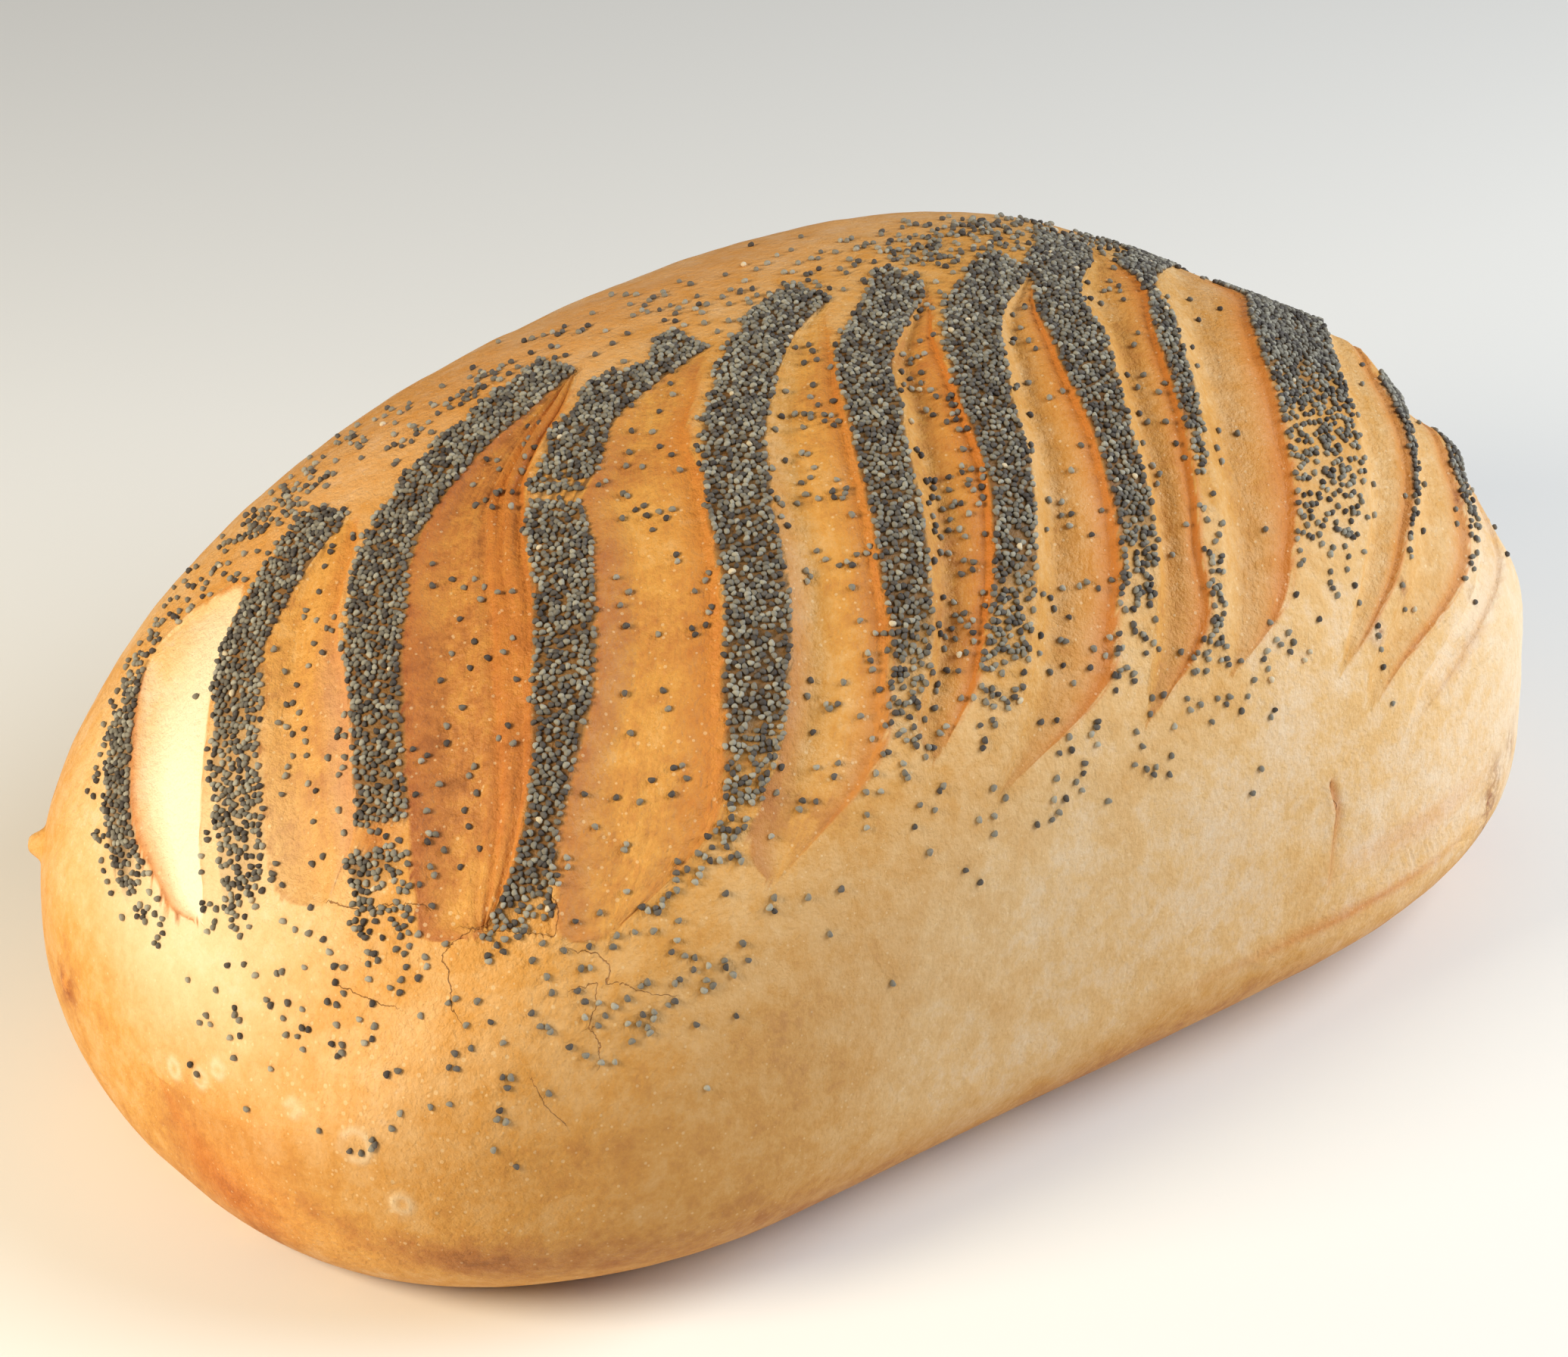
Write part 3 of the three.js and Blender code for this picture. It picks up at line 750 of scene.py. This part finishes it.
# Rough spots: where, spread, height and the size of their lumps along x, y and z.
ROUGH_SPOTS = [
    ((35.3, 70.3), (2.6, 3.4), 0.7, (1.1, 1.1, 1.1)), ((12, -25), (9, 26), 0.5, (2.5, 6, 3)),
    ((6, -130), (6, 60), 0.3, (1.7, 1.7, 1.7)), ((15, -50), (9, 22), 0.21, (1.7, 1.7, 1.7)),
]
# Colour on the slashes' floors: the field, how much, the first and last slash from 0, and the limits
# across and around between which it comes in.
FLOOR_TINTS = [
    ("cream", 0.75, (0, 0), (0.06, 0.4), (121, 104)),
    ("cream", 0.22, (1, 1), (0.62, 0.86), (96, 88)),
    ("amber", 0.22, (5, 8), (0.15, 0.5), ALL),
    # The next two are painted shade at the near lips: amber over the first slash's near wall, and a dark
    # line in the creases of the first three near lips.
    ("amber", 0.8, (0, 0), (0.17, 0.02), ALL),
    ("scorch_and_lip_shade", 0.55, (0, 2), (0.08, 0.01), ALL),
    # Painted shade on the near walls from the third slash on, where the strips' lips shadow them.
    ("painted_wall_shade", 0.5, (2, 11), (0.36, 0.06), ALL),
]
# The first floor's cream fades by so much towards its far lip.
CREAM_FADE = 0.55
CREAM_FADE_ACROSS = (0.86, 1)
# The painted shade on the near walls fades out between these places along.
PAINTED_WALL_SHADE_ALONG = (84, 66)
# An amber ridge on the third floor: where it is across and how wide.
AMBER_RIDGE_SLASH = 2
AMBER_RIDGE = (0.73, 0.06)
RIDGE_AMBER = 0.35
# Amber in the creases and on the rims beside them: partly the creases' own darker bake, partly painted shade
# and warm bounce light.
CREASE_AMBER = 0.45
MORE_FAR_AMBER = 0.2
FAR_HALF = (45, 80)
CREASE_ACROSS = (0.5, 0.96)
CREASE_POWER = 1.5
CREASE_DEPTHS = (0, 0.5)  # a crease's amber comes in between these shares of the full depth
LAST_CREASE = 0.3  # the last slash's share of it
RIM_WIDTH = 0.7
FOLD_AMBER = 0.8  # on the opened fold
FOLD_AMBER_WIDTH = 0.8
# Painted shade under the dense seeds: how dark it gets, and the cover over which it comes in.
PAINTED_SEED_SHADE_SHARE = 0.75
PAINTED_SEED_SHADE_COVER = (0.7, 1)  # the seeds' cover between which the skin under them is darkened by painted shade
# The size of the pale flecks, and the places and spreads of more flecks and of crazed skin.
SKIN_FLECKS = 0.16
MORE_FLOOR_FLECKS = 0.06
FLECKED = ((20, 30), (24, 44))
CRAZED = ((58, 4), (34, 18))


def spots_at(along, around, spots):
    return sum(amount * blob(along, around, at, spread) for at, spread, amount in spots)


def bake_and_low_shade_at(along, around, slashed):
    """How dark the crust is baked, with painted shade low on the loaf: 0 is pale cream, 1 is dark brown."""
    bake_and_low_shade = SKIN_BAKE + spots_at(along, around, BAKE_SPOTS)
    for amount, along_limits, around_limits in BAKE_STRETCHES:
        bake_and_low_shade = bake_and_low_shade + amount * smoothstep(along, *along_limits) * smoothstep(around, *around_limits)
    bake_and_low_shade = bake_and_low_shade + (TIP_BAKE - bake_and_low_shade) * smoothstep(along, *TIP_STRETCH)
    floor_bake = np.array(FLOOR_BAKES)[slashed.slash] + FLOOR_BAKE_SLOPE * (slashed.across - 0.5)
    floor_bake -= spots_at(along, around, [PALE_FLOOR_END])
    return np.where(slashed.across >= 0, floor_bake, bake_and_low_shade)


def path_distance(points, places, path):
    """Signed distance in millimetres from each point to a path on the crust, to one side positive."""
    path = np.array(path, float)
    length = np.concatenate([[0], np.cumsum(np.linalg.norm(np.diff(path, axis=0), axis=1))])
    steps = np.linspace(0, length[-1], max(MIN_PATH_POINTS, round(length[-1] / PATH_STEP)))
    route = np.stack([np.interp(steps, length, path[:, axis]) for axis in (0, 1)], -1)
    line = smooth_point(route[:, 0], route[:, 1])
    ahead = np.gradient(line, axis=0)
    side = unit(np.cross(ahead, smooth_normal(route[:, 0], route[:, 1])))
    middle, reach = (path.min(0) + path.max(0)) / 2, np.ptp(path, axis=0) / 2 + PATH_MARGIN
    near = (np.abs(places - middle) < reach).all(-1)
    distance = np.full(points.shape[:-1], FAR_OFF)
    offset = points[near][:, None] - line
    away = np.linalg.norm(offset, axis=-1)
    closest = away.argmin(axis=1)
    row = np.arange(len(closest))
    sign = np.sign((offset[row, closest] * side[closest]).sum(-1))
    distance[near] = away[row, closest] * np.where(sign == 0, 1, sign)
    return distance


def distance_from(rest, at):
    return np.linalg.norm(rest - smooth_point(*map(np.float64, at)), axis=-1)


def blister_rings(rest):
    """1 on the ring round each sunken blister, falling to 0 beside it."""
    return sum(ridge(distance_from(rest, at), radius, RING_WIDTH) for at, radius in RINGS)


def small_relief(rest, places, slashed):
    """Heights in millimetres of the crust's small shapes: knobs, blisters, folds and torn edges."""
    along, around = places[..., 0], places[..., 1]
    height = RING_HEIGHT * blister_rings(rest)
    for at, radius, tall in KNOBS:
        height += tall * np.exp(-((distance_from(rest, at) / radius) ** KNOB_STEEPNESS))
    for path, depth, half_width in FOLDS:
        away = path_distance(rest, places, path)
        swelling = SWELLING_SHARE * ridge(away, SWELLING_AT * half_width, half_width)
        height += depth * (swelling - ridge(away, 0, half_width))
    away = path_distance(rest, places, FLAP_EDGE)
    height += FLAP_HEIGHT * (away > 0) * np.exp(-np.maximum(away, 0) / FLAP_REACH)
    across = slashed.across
    for slash, tall, line, limits in FLOOR_RIDGES:
        height += tall * (slashed.slash == slash) * ridge(across, *line) * smoothstep(around, *limits)
    ribs = np.sin(across * RIB_CLOSENESS + along * RIB_SLANT) * smoothstep(across, *RIBBED_ACROSS)
    height += RIB_HEIGHT * (slashed.slash == RIB_SLASH) * ribs
    torn = (slashed.slash == TORN_SLASH) * smoothstep(around, *TORN_AROUND)
    height += TORN_HEIGHT * torn * lumps(rest, TORN_SIZE)
    for at, spread, tall, size in ROUGH_SPOTS:
        height += tall * blob(along, around, at, spread) * lumps(rest, size)
    return height


def crust_points(grid, slashed, fibres, rest, places):
    relief = slashed.relief + unevenness(grid.along, grid.around)
    relief += FIBRE_HEIGHT * fibres * (slashed.across >= 0)
    for size, height in LUMP_HEIGHTS:
        relief += height * lumps(rest, size)
    lip_gap = np.minimum(slashed.from_slash_before, slashed.from_slash_after) * MM_PER_DEGREE
    relief += LIP_HEIGHT * slashed.lip_depth * ridge(lip_gap, 0, LIP_WIDTH) * (slashed.across < 0)
    relief += small_relief(rest, places, slashed)
    return skin_point(grid.along, grid.around, relief).reshape(-1, 3)


def crust_faces(grid):
    index = np.arange(grid.rows * grid.columns).reshape(grid.rows, grid.columns)
    below = np.roll(index, -1, axis=0)
    return np.stack([index[:, :-1], index[:, 1:], below[:, 1:], below[:, :-1]], -1).reshape(-1, 4)


def crack_fields(rest, places):
    """For the shader: the signed distance to the nearest crack, and 1 close to it."""
    side = np.full(rest.shape[:-1], FAR_OFF)
    for path in (*CRACKS, FLAP_EDGE, FOLDS[0][0]):
        away = path_distance(rest, places, path)
        side = np.where(np.abs(away) < np.abs(side), away, side)
    near = 1 - smoothstep(np.abs(side), *CRACK_FADE)
    return {"crack_side": np.clip(side, -CRACK_SPAN, CRACK_SPAN), "crack_near": near}


def floor_tint(field, grid, slashed):
    """How much of one colour the slashes' floors have."""
    total = np.zeros(grid.along.shape)
    for name, amount, (first, last), across, around in FLOOR_TINTS:
        if name == field:
            inside = (slashed.slash >= first) & (slashed.slash <= last)
            total += amount * inside * smoothstep(slashed.across, *across) * smoothstep(grid.around, *around)
    return total


def crease_amber_and_shade(grid, slashed):
    """Amber in the creases at the slashes' far lips and on the rims just past them: partly a darker bake,
    partly painted shade and warm bounce light.
    """
    floor = slashed.across >= 0
    crease = smoothstep(slashed.across, *CREASE_ACROSS) ** CREASE_POWER
    crease *= smoothstep(slashed.depth, *CREASE_DEPTHS)
    rim = ridge(slashed.from_slash_before * MM_PER_DEGREE, 0, RIM_WIDTH)
    crease += rim * smoothstep(slashed.lip_depth, *CREASE_DEPTHS) * ~floor
    last = np.where(floor, slashed.slash + 1, slashed.strip) == len(SLASHES)
    crease *= np.where(last, LAST_CREASE, 1)
    return crease * (CREASE_AMBER + MORE_FAR_AMBER * smoothstep(grid.along, *FAR_HALF))


def crust_fields(grid, slashed, rest, places):
    """The point fields that the crust's material is mixed by."""
    along, around, across = grid.along, grid.around, slashed.across
    floor = across >= 0
    first = slashed.slash == 0
    cream = floor_tint("cream", grid, slashed)
    cream *= 1 - CREAM_FADE * first * smoothstep(across, *CREAM_FADE_ACROSS)
    # The creases' amber is partly painted shade and bounce light.
    amber = floor_tint("amber", grid, slashed) + crease_amber_and_shade(grid, slashed) * ~first
    amber += RIDGE_AMBER * (slashed.slash == AMBER_RIDGE_SLASH) * ridge(across, *AMBER_RIDGE)
    amber += FOLD_AMBER * ridge(path_distance(rest, places, FOLDS[0][0]), 0, FOLD_AMBER_WIDTH)
    fields = {
        "bake_and_low_shade": bake_and_low_shade_at(along, around, slashed),
        "floor": floor,
        "cream": cream + spots_at(along, around, CREAMY) + RING_CREAM * blister_rings(rest),
        # painted shade on the near walls, where the strips' lips shadow them
        "painted_wall_shade": floor_tint("painted_wall_shade", grid, slashed) * smoothstep(along, *PAINTED_WALL_SHADE_ALONG),
        # painted shade under the dense seeds, for the shadows between them
        "painted_seed_shade": PAINTED_SEED_SHADE_SHARE * smoothstep(seed_cover(along, around, slashed)[0], *PAINTED_SEED_SHADE_COVER),
        "amber": amber + spots_at(along, around, AMBERED) * ~floor,
        # real scorch spots, and painted shade in the near lips' creases
        "scorch_and_lip_shade": spots_at(along, around, SCORCHED) + floor_tint("scorch_and_lip_shade", grid, slashed),
        "flecks": SKIN_FLECKS * (1 + blob(along, around, *FLECKED)) + MORE_FLOOR_FLECKS * floor,
        "craze": blob(along, around, *CRAZED),
    }
    fields |= crack_fields(rest, places)
    for name in ("cream", "amber", "scorch_and_lip_shade"):
        fields[name] = np.clip(fields[name], 0, 1)
    return {name: np.asarray(values, float).ravel() for name, values in fields.items()}


def crust_piece(grid, material):
    slashed = Slashed(grid.along, grid.around)
    rest = smooth_point(grid.along, grid.around)
    places = np.stack([grid.along, grid.around], -1)
    column_mm = np.broadcast_to(np.arange(grid.columns) * COLUMN_STEP, grid.along.shape)
    row_mm = grid.around * ROW_MM_PER_DEGREE
    fibres = grid_noise(column_mm / FIBRE_SIZE[0], row_mm / FIBRE_SIZE[1], FIBRE_LAYER)
    fields = crust_fields(grid, slashed, rest, places)
    fields["grain"] = np.stack([column_mm, row_mm, 0 * row_mm], -1).reshape(-1, 3)
    points = crust_points(grid, slashed, fibres, rest, places)
    return mesh_piece("crust", points, crust_faces(grid), material, fields)


# ---- seeds
SEED_LENGTH = 1.2
SEED_SIDES = 7
SEED_RINGS = 4
LENGTHS = (0.86, 1.08)  # shortest and longest, as shares of that
SPACING = (0.74, 0.88)  # millimetres between the middles of two seeds, at least
TILT = 0.18  # how far seeds lean at random
LIFT = 0.26  # how far up a seed's middle is, as a share of its length
# A seed is as wide and as high as these shares of its length, and bent by so much.
SEED_WIDTH = 0.8
SEED_HEIGHT = 0.78
SEED_BEND = 0.32
SEED_BEND_START = 0.12
TURN_FROM = (0.3, 0.8, 0.52)  # the direction that the seeds' turns are measured from
DROP_HEIGHT = 8  # millimetres above the crust that a seed is dropped from
RANDOM_SEED = 7
SOWN = ((4, 178), (5, 150))  # the stretch of the crust that seeds are drawn from, along and around
TRIES = 1400000

# The strips of skin from the near end: how far each reaches in millimetres from the slash after it,
# then how much of it seeds cover at places around the loaf.
STRIPS = [
    (6.5, [(90, 0), (96, 0.35), (104, 0.75), (110, 1), (121, 1), (126, 0.5), (130, 0)]),
    (9.6, [(76, 0), (80, 0.35), (84, 0.8), (95, 0.85), (99, 1), (112, 1), (118, 0.3), (122, 0)]),
    (10, [(46, 0), (50, 0.15), (56, 0.3), (60, 0.55), (65, 0.8), (70, 0.95), (88, 1), (106, 1), (110, 0.3),
         (114, 0)]),
    (9.8, [(41, 0), (44, 0.5), (47, 0.8), (50, 1), (98, 1), (102, 0.4), (105, 0)]),
    (10.2, [(34, 0), (38, 0.4), (43, 0.7), (50, 0.95), (54, 1), (96, 1), (100, 0.2), (102, 0)]),
    (9.2, [(33, 0), (38, 0.35), (44, 0.75), (52, 0.95), (56, 1), (93, 1), (97, 0.3), (99, 0)]),
    (9.7, [(32, 0), (37, 0.3), (44, 0.7), (50, 0.9), (56, 1), (94, 1), (97, 0.4), (99, 0)]),
    (10.2, [(30, 0), (35, 0.25), (41, 0.5), (48, 0.85), (56, 1), (97, 1), (100, 0.3), (102, 0)]),
    (8, [(27, 0), (31, 0.5), (42, 0.5), (45, 0.1), (51, 0.15), (54, 0.6), (62, 1), (92, 1), (97, 0.4),
         (99, 0)]),
    (19, [(31, 0), (36, 0.12), (41, 0.3), (47, 0.5), (55, 0.68), (62, 0.82), (68, 1), (97, 1), (101, 0.3),
          (103, 0)]),
    (5.6, [(32, 0), (38, 0.5), (44, 1), (78, 1), (84, 0)]),
    (5, [(28, 0), (36, 0.3), (44, 0.8), (60, 0.9), (68, 0)]),
]
# Bare bands across the strips: the places that they pass through and their half width in millimetres.
BARE_BANDS = [
    ([(65, 91.2), (66.2, 89.2), (67.6, 87)], 1.1),
    ([(63.5, 90), (65, 87.8), (66.4, 85.4)], 1.1),
    ([(32.6, 74.5), (35.2, 71), (37.4, 66.6)], 2.2),
    ([(67.5, 50), (69.5, 47.5), (71, 45.5)], 1.2),
]
STRIP_EDGE = 0.8  # millimetres to each side over which a strip thins out at its outer edge
BARE_COVER = 0.1  # the share of its seeds that a bare band keeps
BARE_EDGE = (0.7, 1.1)  # where it begins and ends, as shares of its half width
# Sparse seeds: (along, around), spread, seeds for each square millimetre.
SCATTER = [
    ((36, 125), (8, 5), 0.5), ((50, 117), (14, 7), 0.33), ((66, 108), (16, 7), 0.16),
    ((85, 104), (14, 6), 0.08), ((109, 96), (9, 5), 0.6), ((124, 97), (12, 6), 0.35),
    ((150, 90), (14, 8), 0.3), ((97, 96), (9, 4), 0.12), ((45, 32), (15, 12), 0.13),
    ((30, 52), (10, 12), 0.2), ((18, 66), (9, 16), 0.08), ((42, 38), (12, 9), 0.17),
    ((26, 24), (16, 16), 0.035), ((56, 41), (6, 4), 0.75), ((50, 38.5), (5, 3.5), 0.5),
    ((66, 38), (7, 5), 0.3), ((83, 36), (7, 4), 0.3), ((90, 29), (16, 8), 0.09),
    ((105, 31), (12, 5), 0.12), ((22, 70), (10, 30), 0.05), ((22, 112), (6, 9), 0.22),
    ((25, 87), (5, 7), 0.16), ((118, 32), (8, 6), 0.05), ((138, 28), (14, 14), 0.015),
]
# Seeds for each square millimetre of each slash's floor, from the near end.
FLOOR_SEEDS = (0.004, 0.06, 0.04, 0.035, 0.06, 0.16, 0.05, 0.03, 0.008, 0.01, 0.01, 0.01)
CLUMP_SIZE = 7  # degrees across the clumps that the sparse seeds lie in
CLUMP_STRENGTH = 1.2
CLUMP_LAYER = 5.0  # which slice of the noise the clumps are read from
CHART_TO = (180, 150)  # how far the coarse chart reaches along and around
INSIDE_CHART = 0.01
LIP_SAMPLES = 40


def chart_table():
    """A coarse chart of the crust: one node for each whole degree along and around."""
    return np.meshgrid(*(np.arange(0, last + 1, 1.0) for last in CHART_TO), indexing="ij")


def look_up(table, along, around):
    """A coarse chart's values at exact places."""
    along = np.clip(along, 0, CHART_TO[0] - INSIDE_CHART)
    around = np.clip(around, 0, CHART_TO[1] - INSIDE_CHART)
    i, j = along.astype(int), around.astype(int)
    u, v = along - i, around - j
    low = table[i, j] * (1 - u) + table[i + 1, j] * u
    high = table[i, j + 1] * (1 - u) + table[i + 1, j + 1] * u
    return low * (1 - v) + high * v


def near_lip_distance(slash, table_along, table_around):
    """Millimetres from each node of the coarse chart to a slash's near lip."""
    stations, near, _ = np.array(slash, float).T
    lip_around = np.linspace(stations[0], stations[-1], LIP_SAMPLES)
    lip = smooth_point(curve_at(lip_around, stations, near), lip_around)
    places = smooth_point(table_along, table_around)
    return np.linalg.norm(places[:, :, None] - lip, axis=-1).min(axis=-1)


def seed_cover(along, around, slashed):
    """How much of the crust the strips' seeds cover, and the sparse seeds for each square millimetre."""
    nodes = chart_table()
    cover = np.zeros(along.shape)
    for number, (width, stretches) in enumerate(STRIPS):
        mine = (slashed.strip == number) & (slashed.across < 0)
        lip = look_up(near_lip_distance(SLASHES[number], *nodes), along[mine], around[mine])
        stretches = np.array(stretches)
        reach = 1 - smoothstep(lip, width - STRIP_EDGE, width + STRIP_EDGE)
        cover[mine] = reach * np.interp(around[mine], stretches[:, 0], stretches[:, 1])
    rest, places = smooth_point(along, around), np.stack([along, around], -1)
    for path, half_width in BARE_BANDS:
        away = np.abs(path_distance(rest, places, path))
        edge = smoothstep(away, BARE_EDGE[0] * half_width, BARE_EDGE[1] * half_width)
        cover *= BARE_COVER + (1 - BARE_COVER) * edge
    sparse = np.zeros(along.shape)
    for at, spread, count in SCATTER:
        sparse = np.maximum(sparse, count * blob(along, around, at, spread))
    sparse = np.where(slashed.across >= 0, np.array(FLOOR_SEEDS)[slashed.slash], sparse)
    clumps = grid_noise(nodes[0] / CLUMP_SIZE, nodes[1] / CLUMP_SIZE, CLUMP_LAYER)
    return cover, sparse * (1 + CLUMP_STRENGTH * look_up(clumps, along, around))


def spread_apart(points, spacing):
    """Picks points in turn, each at least its spacing from those picked before it."""
    cell = spacing.max()
    keys = np.floor(points / cell).astype(int).tolist()
    taken = {}
    picked = []
    for number, ((x, y, z), key, apart) in enumerate(zip(points.tolist(), keys, spacing.tolist())):
        limit = apart ** 2
        clear = all(
            (x - other[0]) ** 2 + (y - other[1]) ** 2 + (z - other[2]) ** 2 > limit
            for dx in (-1, 0, 1) for dy in (-1, 0, 1) for dz in (-1, 0, 1)
            for other in taken.get((key[0] + dx, key[1] + dy, key[2] + dz), ())
        )
        if clear:
            taken.setdefault(tuple(key), []).append((x, y, z))
            picked.append(number)
    return picked


def sown_places(rng):
    """Places for the seeds, dense on the strips of skin and sparse around them."""
    along = rng.uniform(*SOWN[0], TRIES)
    around = rng.uniform(*SOWN[1], TRIES)
    # Square millimetres for each square degree.
    area = np.linalg.norm(np.cross(*steps_across(along, around)), axis=-1)
    even = rng.uniform(0, area.max(), TRIES) < area
    along, around, area = along[even], around[even], area[even]
    square_degrees = np.ptp(SOWN[0]) * np.ptp(SOWN[1])
    tries_per_area = TRIES / (area.max() * square_degrees)
    cover, sparse = seed_cover(along, around, Slashed(along, around))
    lot = rng.uniform(0, 1, len(along))
    scattered = lot < sparse / tries_per_area
    chosen = np.flatnonzero((cover > 0) | scattered)
    spacing = rng.uniform(*SPACING, len(chosen))
    picked = chosen[spread_apart(smooth_point(along[chosen], around[chosen]), spacing)]
    kept = picked[scattered[picked] | (rng.uniform(0, 1, len(picked)) < cover[picked])]
    return along[kept], around[kept]


def seed_shape():
    """One kidney-shaped seed of length 1 lying on its side: points and triangles."""
    angle = math.pi * np.arange(1, SEED_RINGS + 1).repeat(SEED_SIDES) / (SEED_RINGS + 1)
    turn = 2 * math.pi * np.tile(np.arange(SEED_SIDES), SEED_RINGS) / SEED_SIDES
    rings = np.stack([-np.cos(angle), np.sin(angle) * np.cos(turn), np.sin(angle) * np.sin(turn)], -1)
    points = np.concatenate([[(-1, 0, 0)], rings, [(1, 0, 0)]])
    x, y, z = points.T
    bend = SEED_BEND * x * x - SEED_BEND_START
    points = 0.5 * np.stack([x, SEED_WIDTH * y + bend, SEED_HEIGHT * z], -1)
    faces = []
    last = len(points) - 1
    for side in range(SEED_SIDES):
        after = (side + 1) % SEED_SIDES
        faces.append((0, 1 + after, 1 + side))
        for ring in range(SEED_RINGS - 1):
            a, b = 1 + ring * SEED_SIDES + side, 1 + ring * SEED_SIDES + after
            faces.append((a, b, b + SEED_SIDES))
            faces.append((a, b + SEED_SIDES, a + SEED_SIDES))
        start = 1 + (SEED_RINGS - 1) * SEED_SIDES
        faces.append((start + side, start + after, last))
    return points, np.array(faces)


def seed_pieces(crust):
    rng = np.random.default_rng(RANDOM_SEED)
    along, around = sown_places(rng)
    normals = smooth_normal(along, around)
    above = (smooth_point(along, around) + CENTRE_SHIFT + DROP_HEIGHT * normals) * MM
    tree = BVHTree.FromObject(crust, bpy.context.evaluated_depsgraph_get())
    count = len(along)
    centres, ups = np.zeros((count, 3)), np.zeros((count, 3))
    for number in range(count):
        hit, normal, _, _ = tree.ray_cast(Vector(above[number]), Vector(-normals[number]))
        centres[number] = np.array(hit) / MM
        ups[number] = normal
    length = SEED_LENGTH * rng.uniform(*LENGTHS, count)
    spin = rng.uniform(0, 2 * math.pi, count)
    ups = unit(ups + rng.normal(0, TILT, (count, 3)))
    side = unit(np.cross(ups, np.array(TURN_FROM)))
    other = np.cross(ups, side)
    ahead = side * np.cos(spin)[:, None] + other * np.sin(spin)[:, None]
    turn = np.stack([ahead, np.cross(ups, ahead), ups], -1)
    shape, faces = seed_shape()
    kinds = rng.choice(len(SEED_KINDS), count, p=[kind[0] for kind in SEED_KINDS.values()])
    tone = rng.uniform(0, 1, count)
    for number, (kind, (_, dark, light)) in enumerate(SEED_KINDS.items()):
        mine = kinds == number
        centre = centres[mine] + LIFT * length[mine, None] * ups[mine]
        points = np.einsum("nij,vj->nvi", turn[mine], shape) * length[mine, None, None] + centre[:, None]
        first = np.arange(mine.sum())[:, None, None] * len(shape)
        piece = mesh_piece(
            "poppy_seeds_" + kind, points.reshape(-1, 3), (faces + first).reshape(-1, 3),
            seed_material(kind, dark, light), {"tone": np.repeat(tone[mine], len(shape))},
        )
        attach(piece, "root")


# ---- floor, lights and camera
FLOOR_COLOUR = srgb(240, 239, 238)
FLOOR_ROUGHNESS = 0.8
FLOOR_REACH = 4000  # millimetres
SURROUNDINGS = srgb(236, 232, 226)
SURROUNDINGS_STRENGTH = 0.27
# Lamps: place and aim in metres, size, power in watts and colour.
KEY = ((-0.6, 0.06, 0.36), (-0.06, 0, 0.05), 0.3, 4.2, (1.0, 0.88, 0.64))
FILL = ((0.6, -0.5, 0.6), (0, 0, 0.05), 0.8, 9.5, (0.88, 0.95, 1.0))


def area_light(name, place, aim, size, power, colour):
    light = bpy.data.lights.new(name, "AREA")
    light.shape = "DISK"
    light.size = size
    light.energy = power
    light.color = colour
    lamp = bpy.data.objects.new(name, light)
    lamp.location = place
    lamp.rotation_euler = (Vector(aim) - Vector(place)).to_track_quat("-Z", "Y").to_euler()
    bpy.context.scene.collection.objects.link(lamp)


def studio():
    shader = Shader("floor")
    shader.put(shader.surface, {"Base Color": FLOOR_COLOUR, "Roughness": FLOOR_ROUGHNESS})
    corners = [(x * FLOOR_REACH, y * FLOOR_REACH, 0) for x, y in ((-1, -1), (1, -1), (1, 1), (-1, 1))]
    mesh_piece("floor", corners, [(0, 1, 2, 3)], shader.material)
    world = bpy.data.worlds.new("studio")
    world.use_nodes = True
    background = world.node_tree.nodes["Background"]
    background.inputs["Color"].default_value = SURROUNDINGS
    background.inputs["Strength"].default_value = SURROUNDINGS_STRENGTH
    bpy.context.scene.world = world
    area_light("key", *KEY)
    area_light("fill", *FILL)
    bpy.context.scene.view_settings.view_transform = "Standard"


def camera():
    cos_el, sin_el = math.cos(CAMERA_ELEVATION), math.sin(CAMERA_ELEVATION)
    back = Vector((math.sin(CAMERA_AZIMUTH) * cos_el, -math.cos(CAMERA_AZIMUTH) * cos_el, sin_el))
    right = Vector((0, 0, 1)).cross(back).normalized()
    up = back.cross(right)
    turned_right = math.cos(CAMERA_ROLL) * right + math.sin(CAMERA_ROLL) * up
    turned_up = math.cos(CAMERA_ROLL) * up - math.sin(CAMERA_ROLL) * right
    place = CAMERA_TARGET + back * CAMERA_DISTANCE
    data = bpy.data.cameras.new("camera")
    data.lens = CAMERA_LENS
    data.sensor_width = CAMERA_SENSOR
    eye = bpy.data.objects.new("camera", data)
    turn = Matrix((turned_right, turned_up, back)).transposed().to_4x4()
    eye.matrix_world = Matrix.Translation(place) @ turn
    bpy.context.scene.collection.objects.link(eye)
    bpy.context.scene.camera = eye


camera()
studio()
crust = crust_piece(Grid(), crust_material())
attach(crust, "root")
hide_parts("loaf")
seed_pieces(crust)
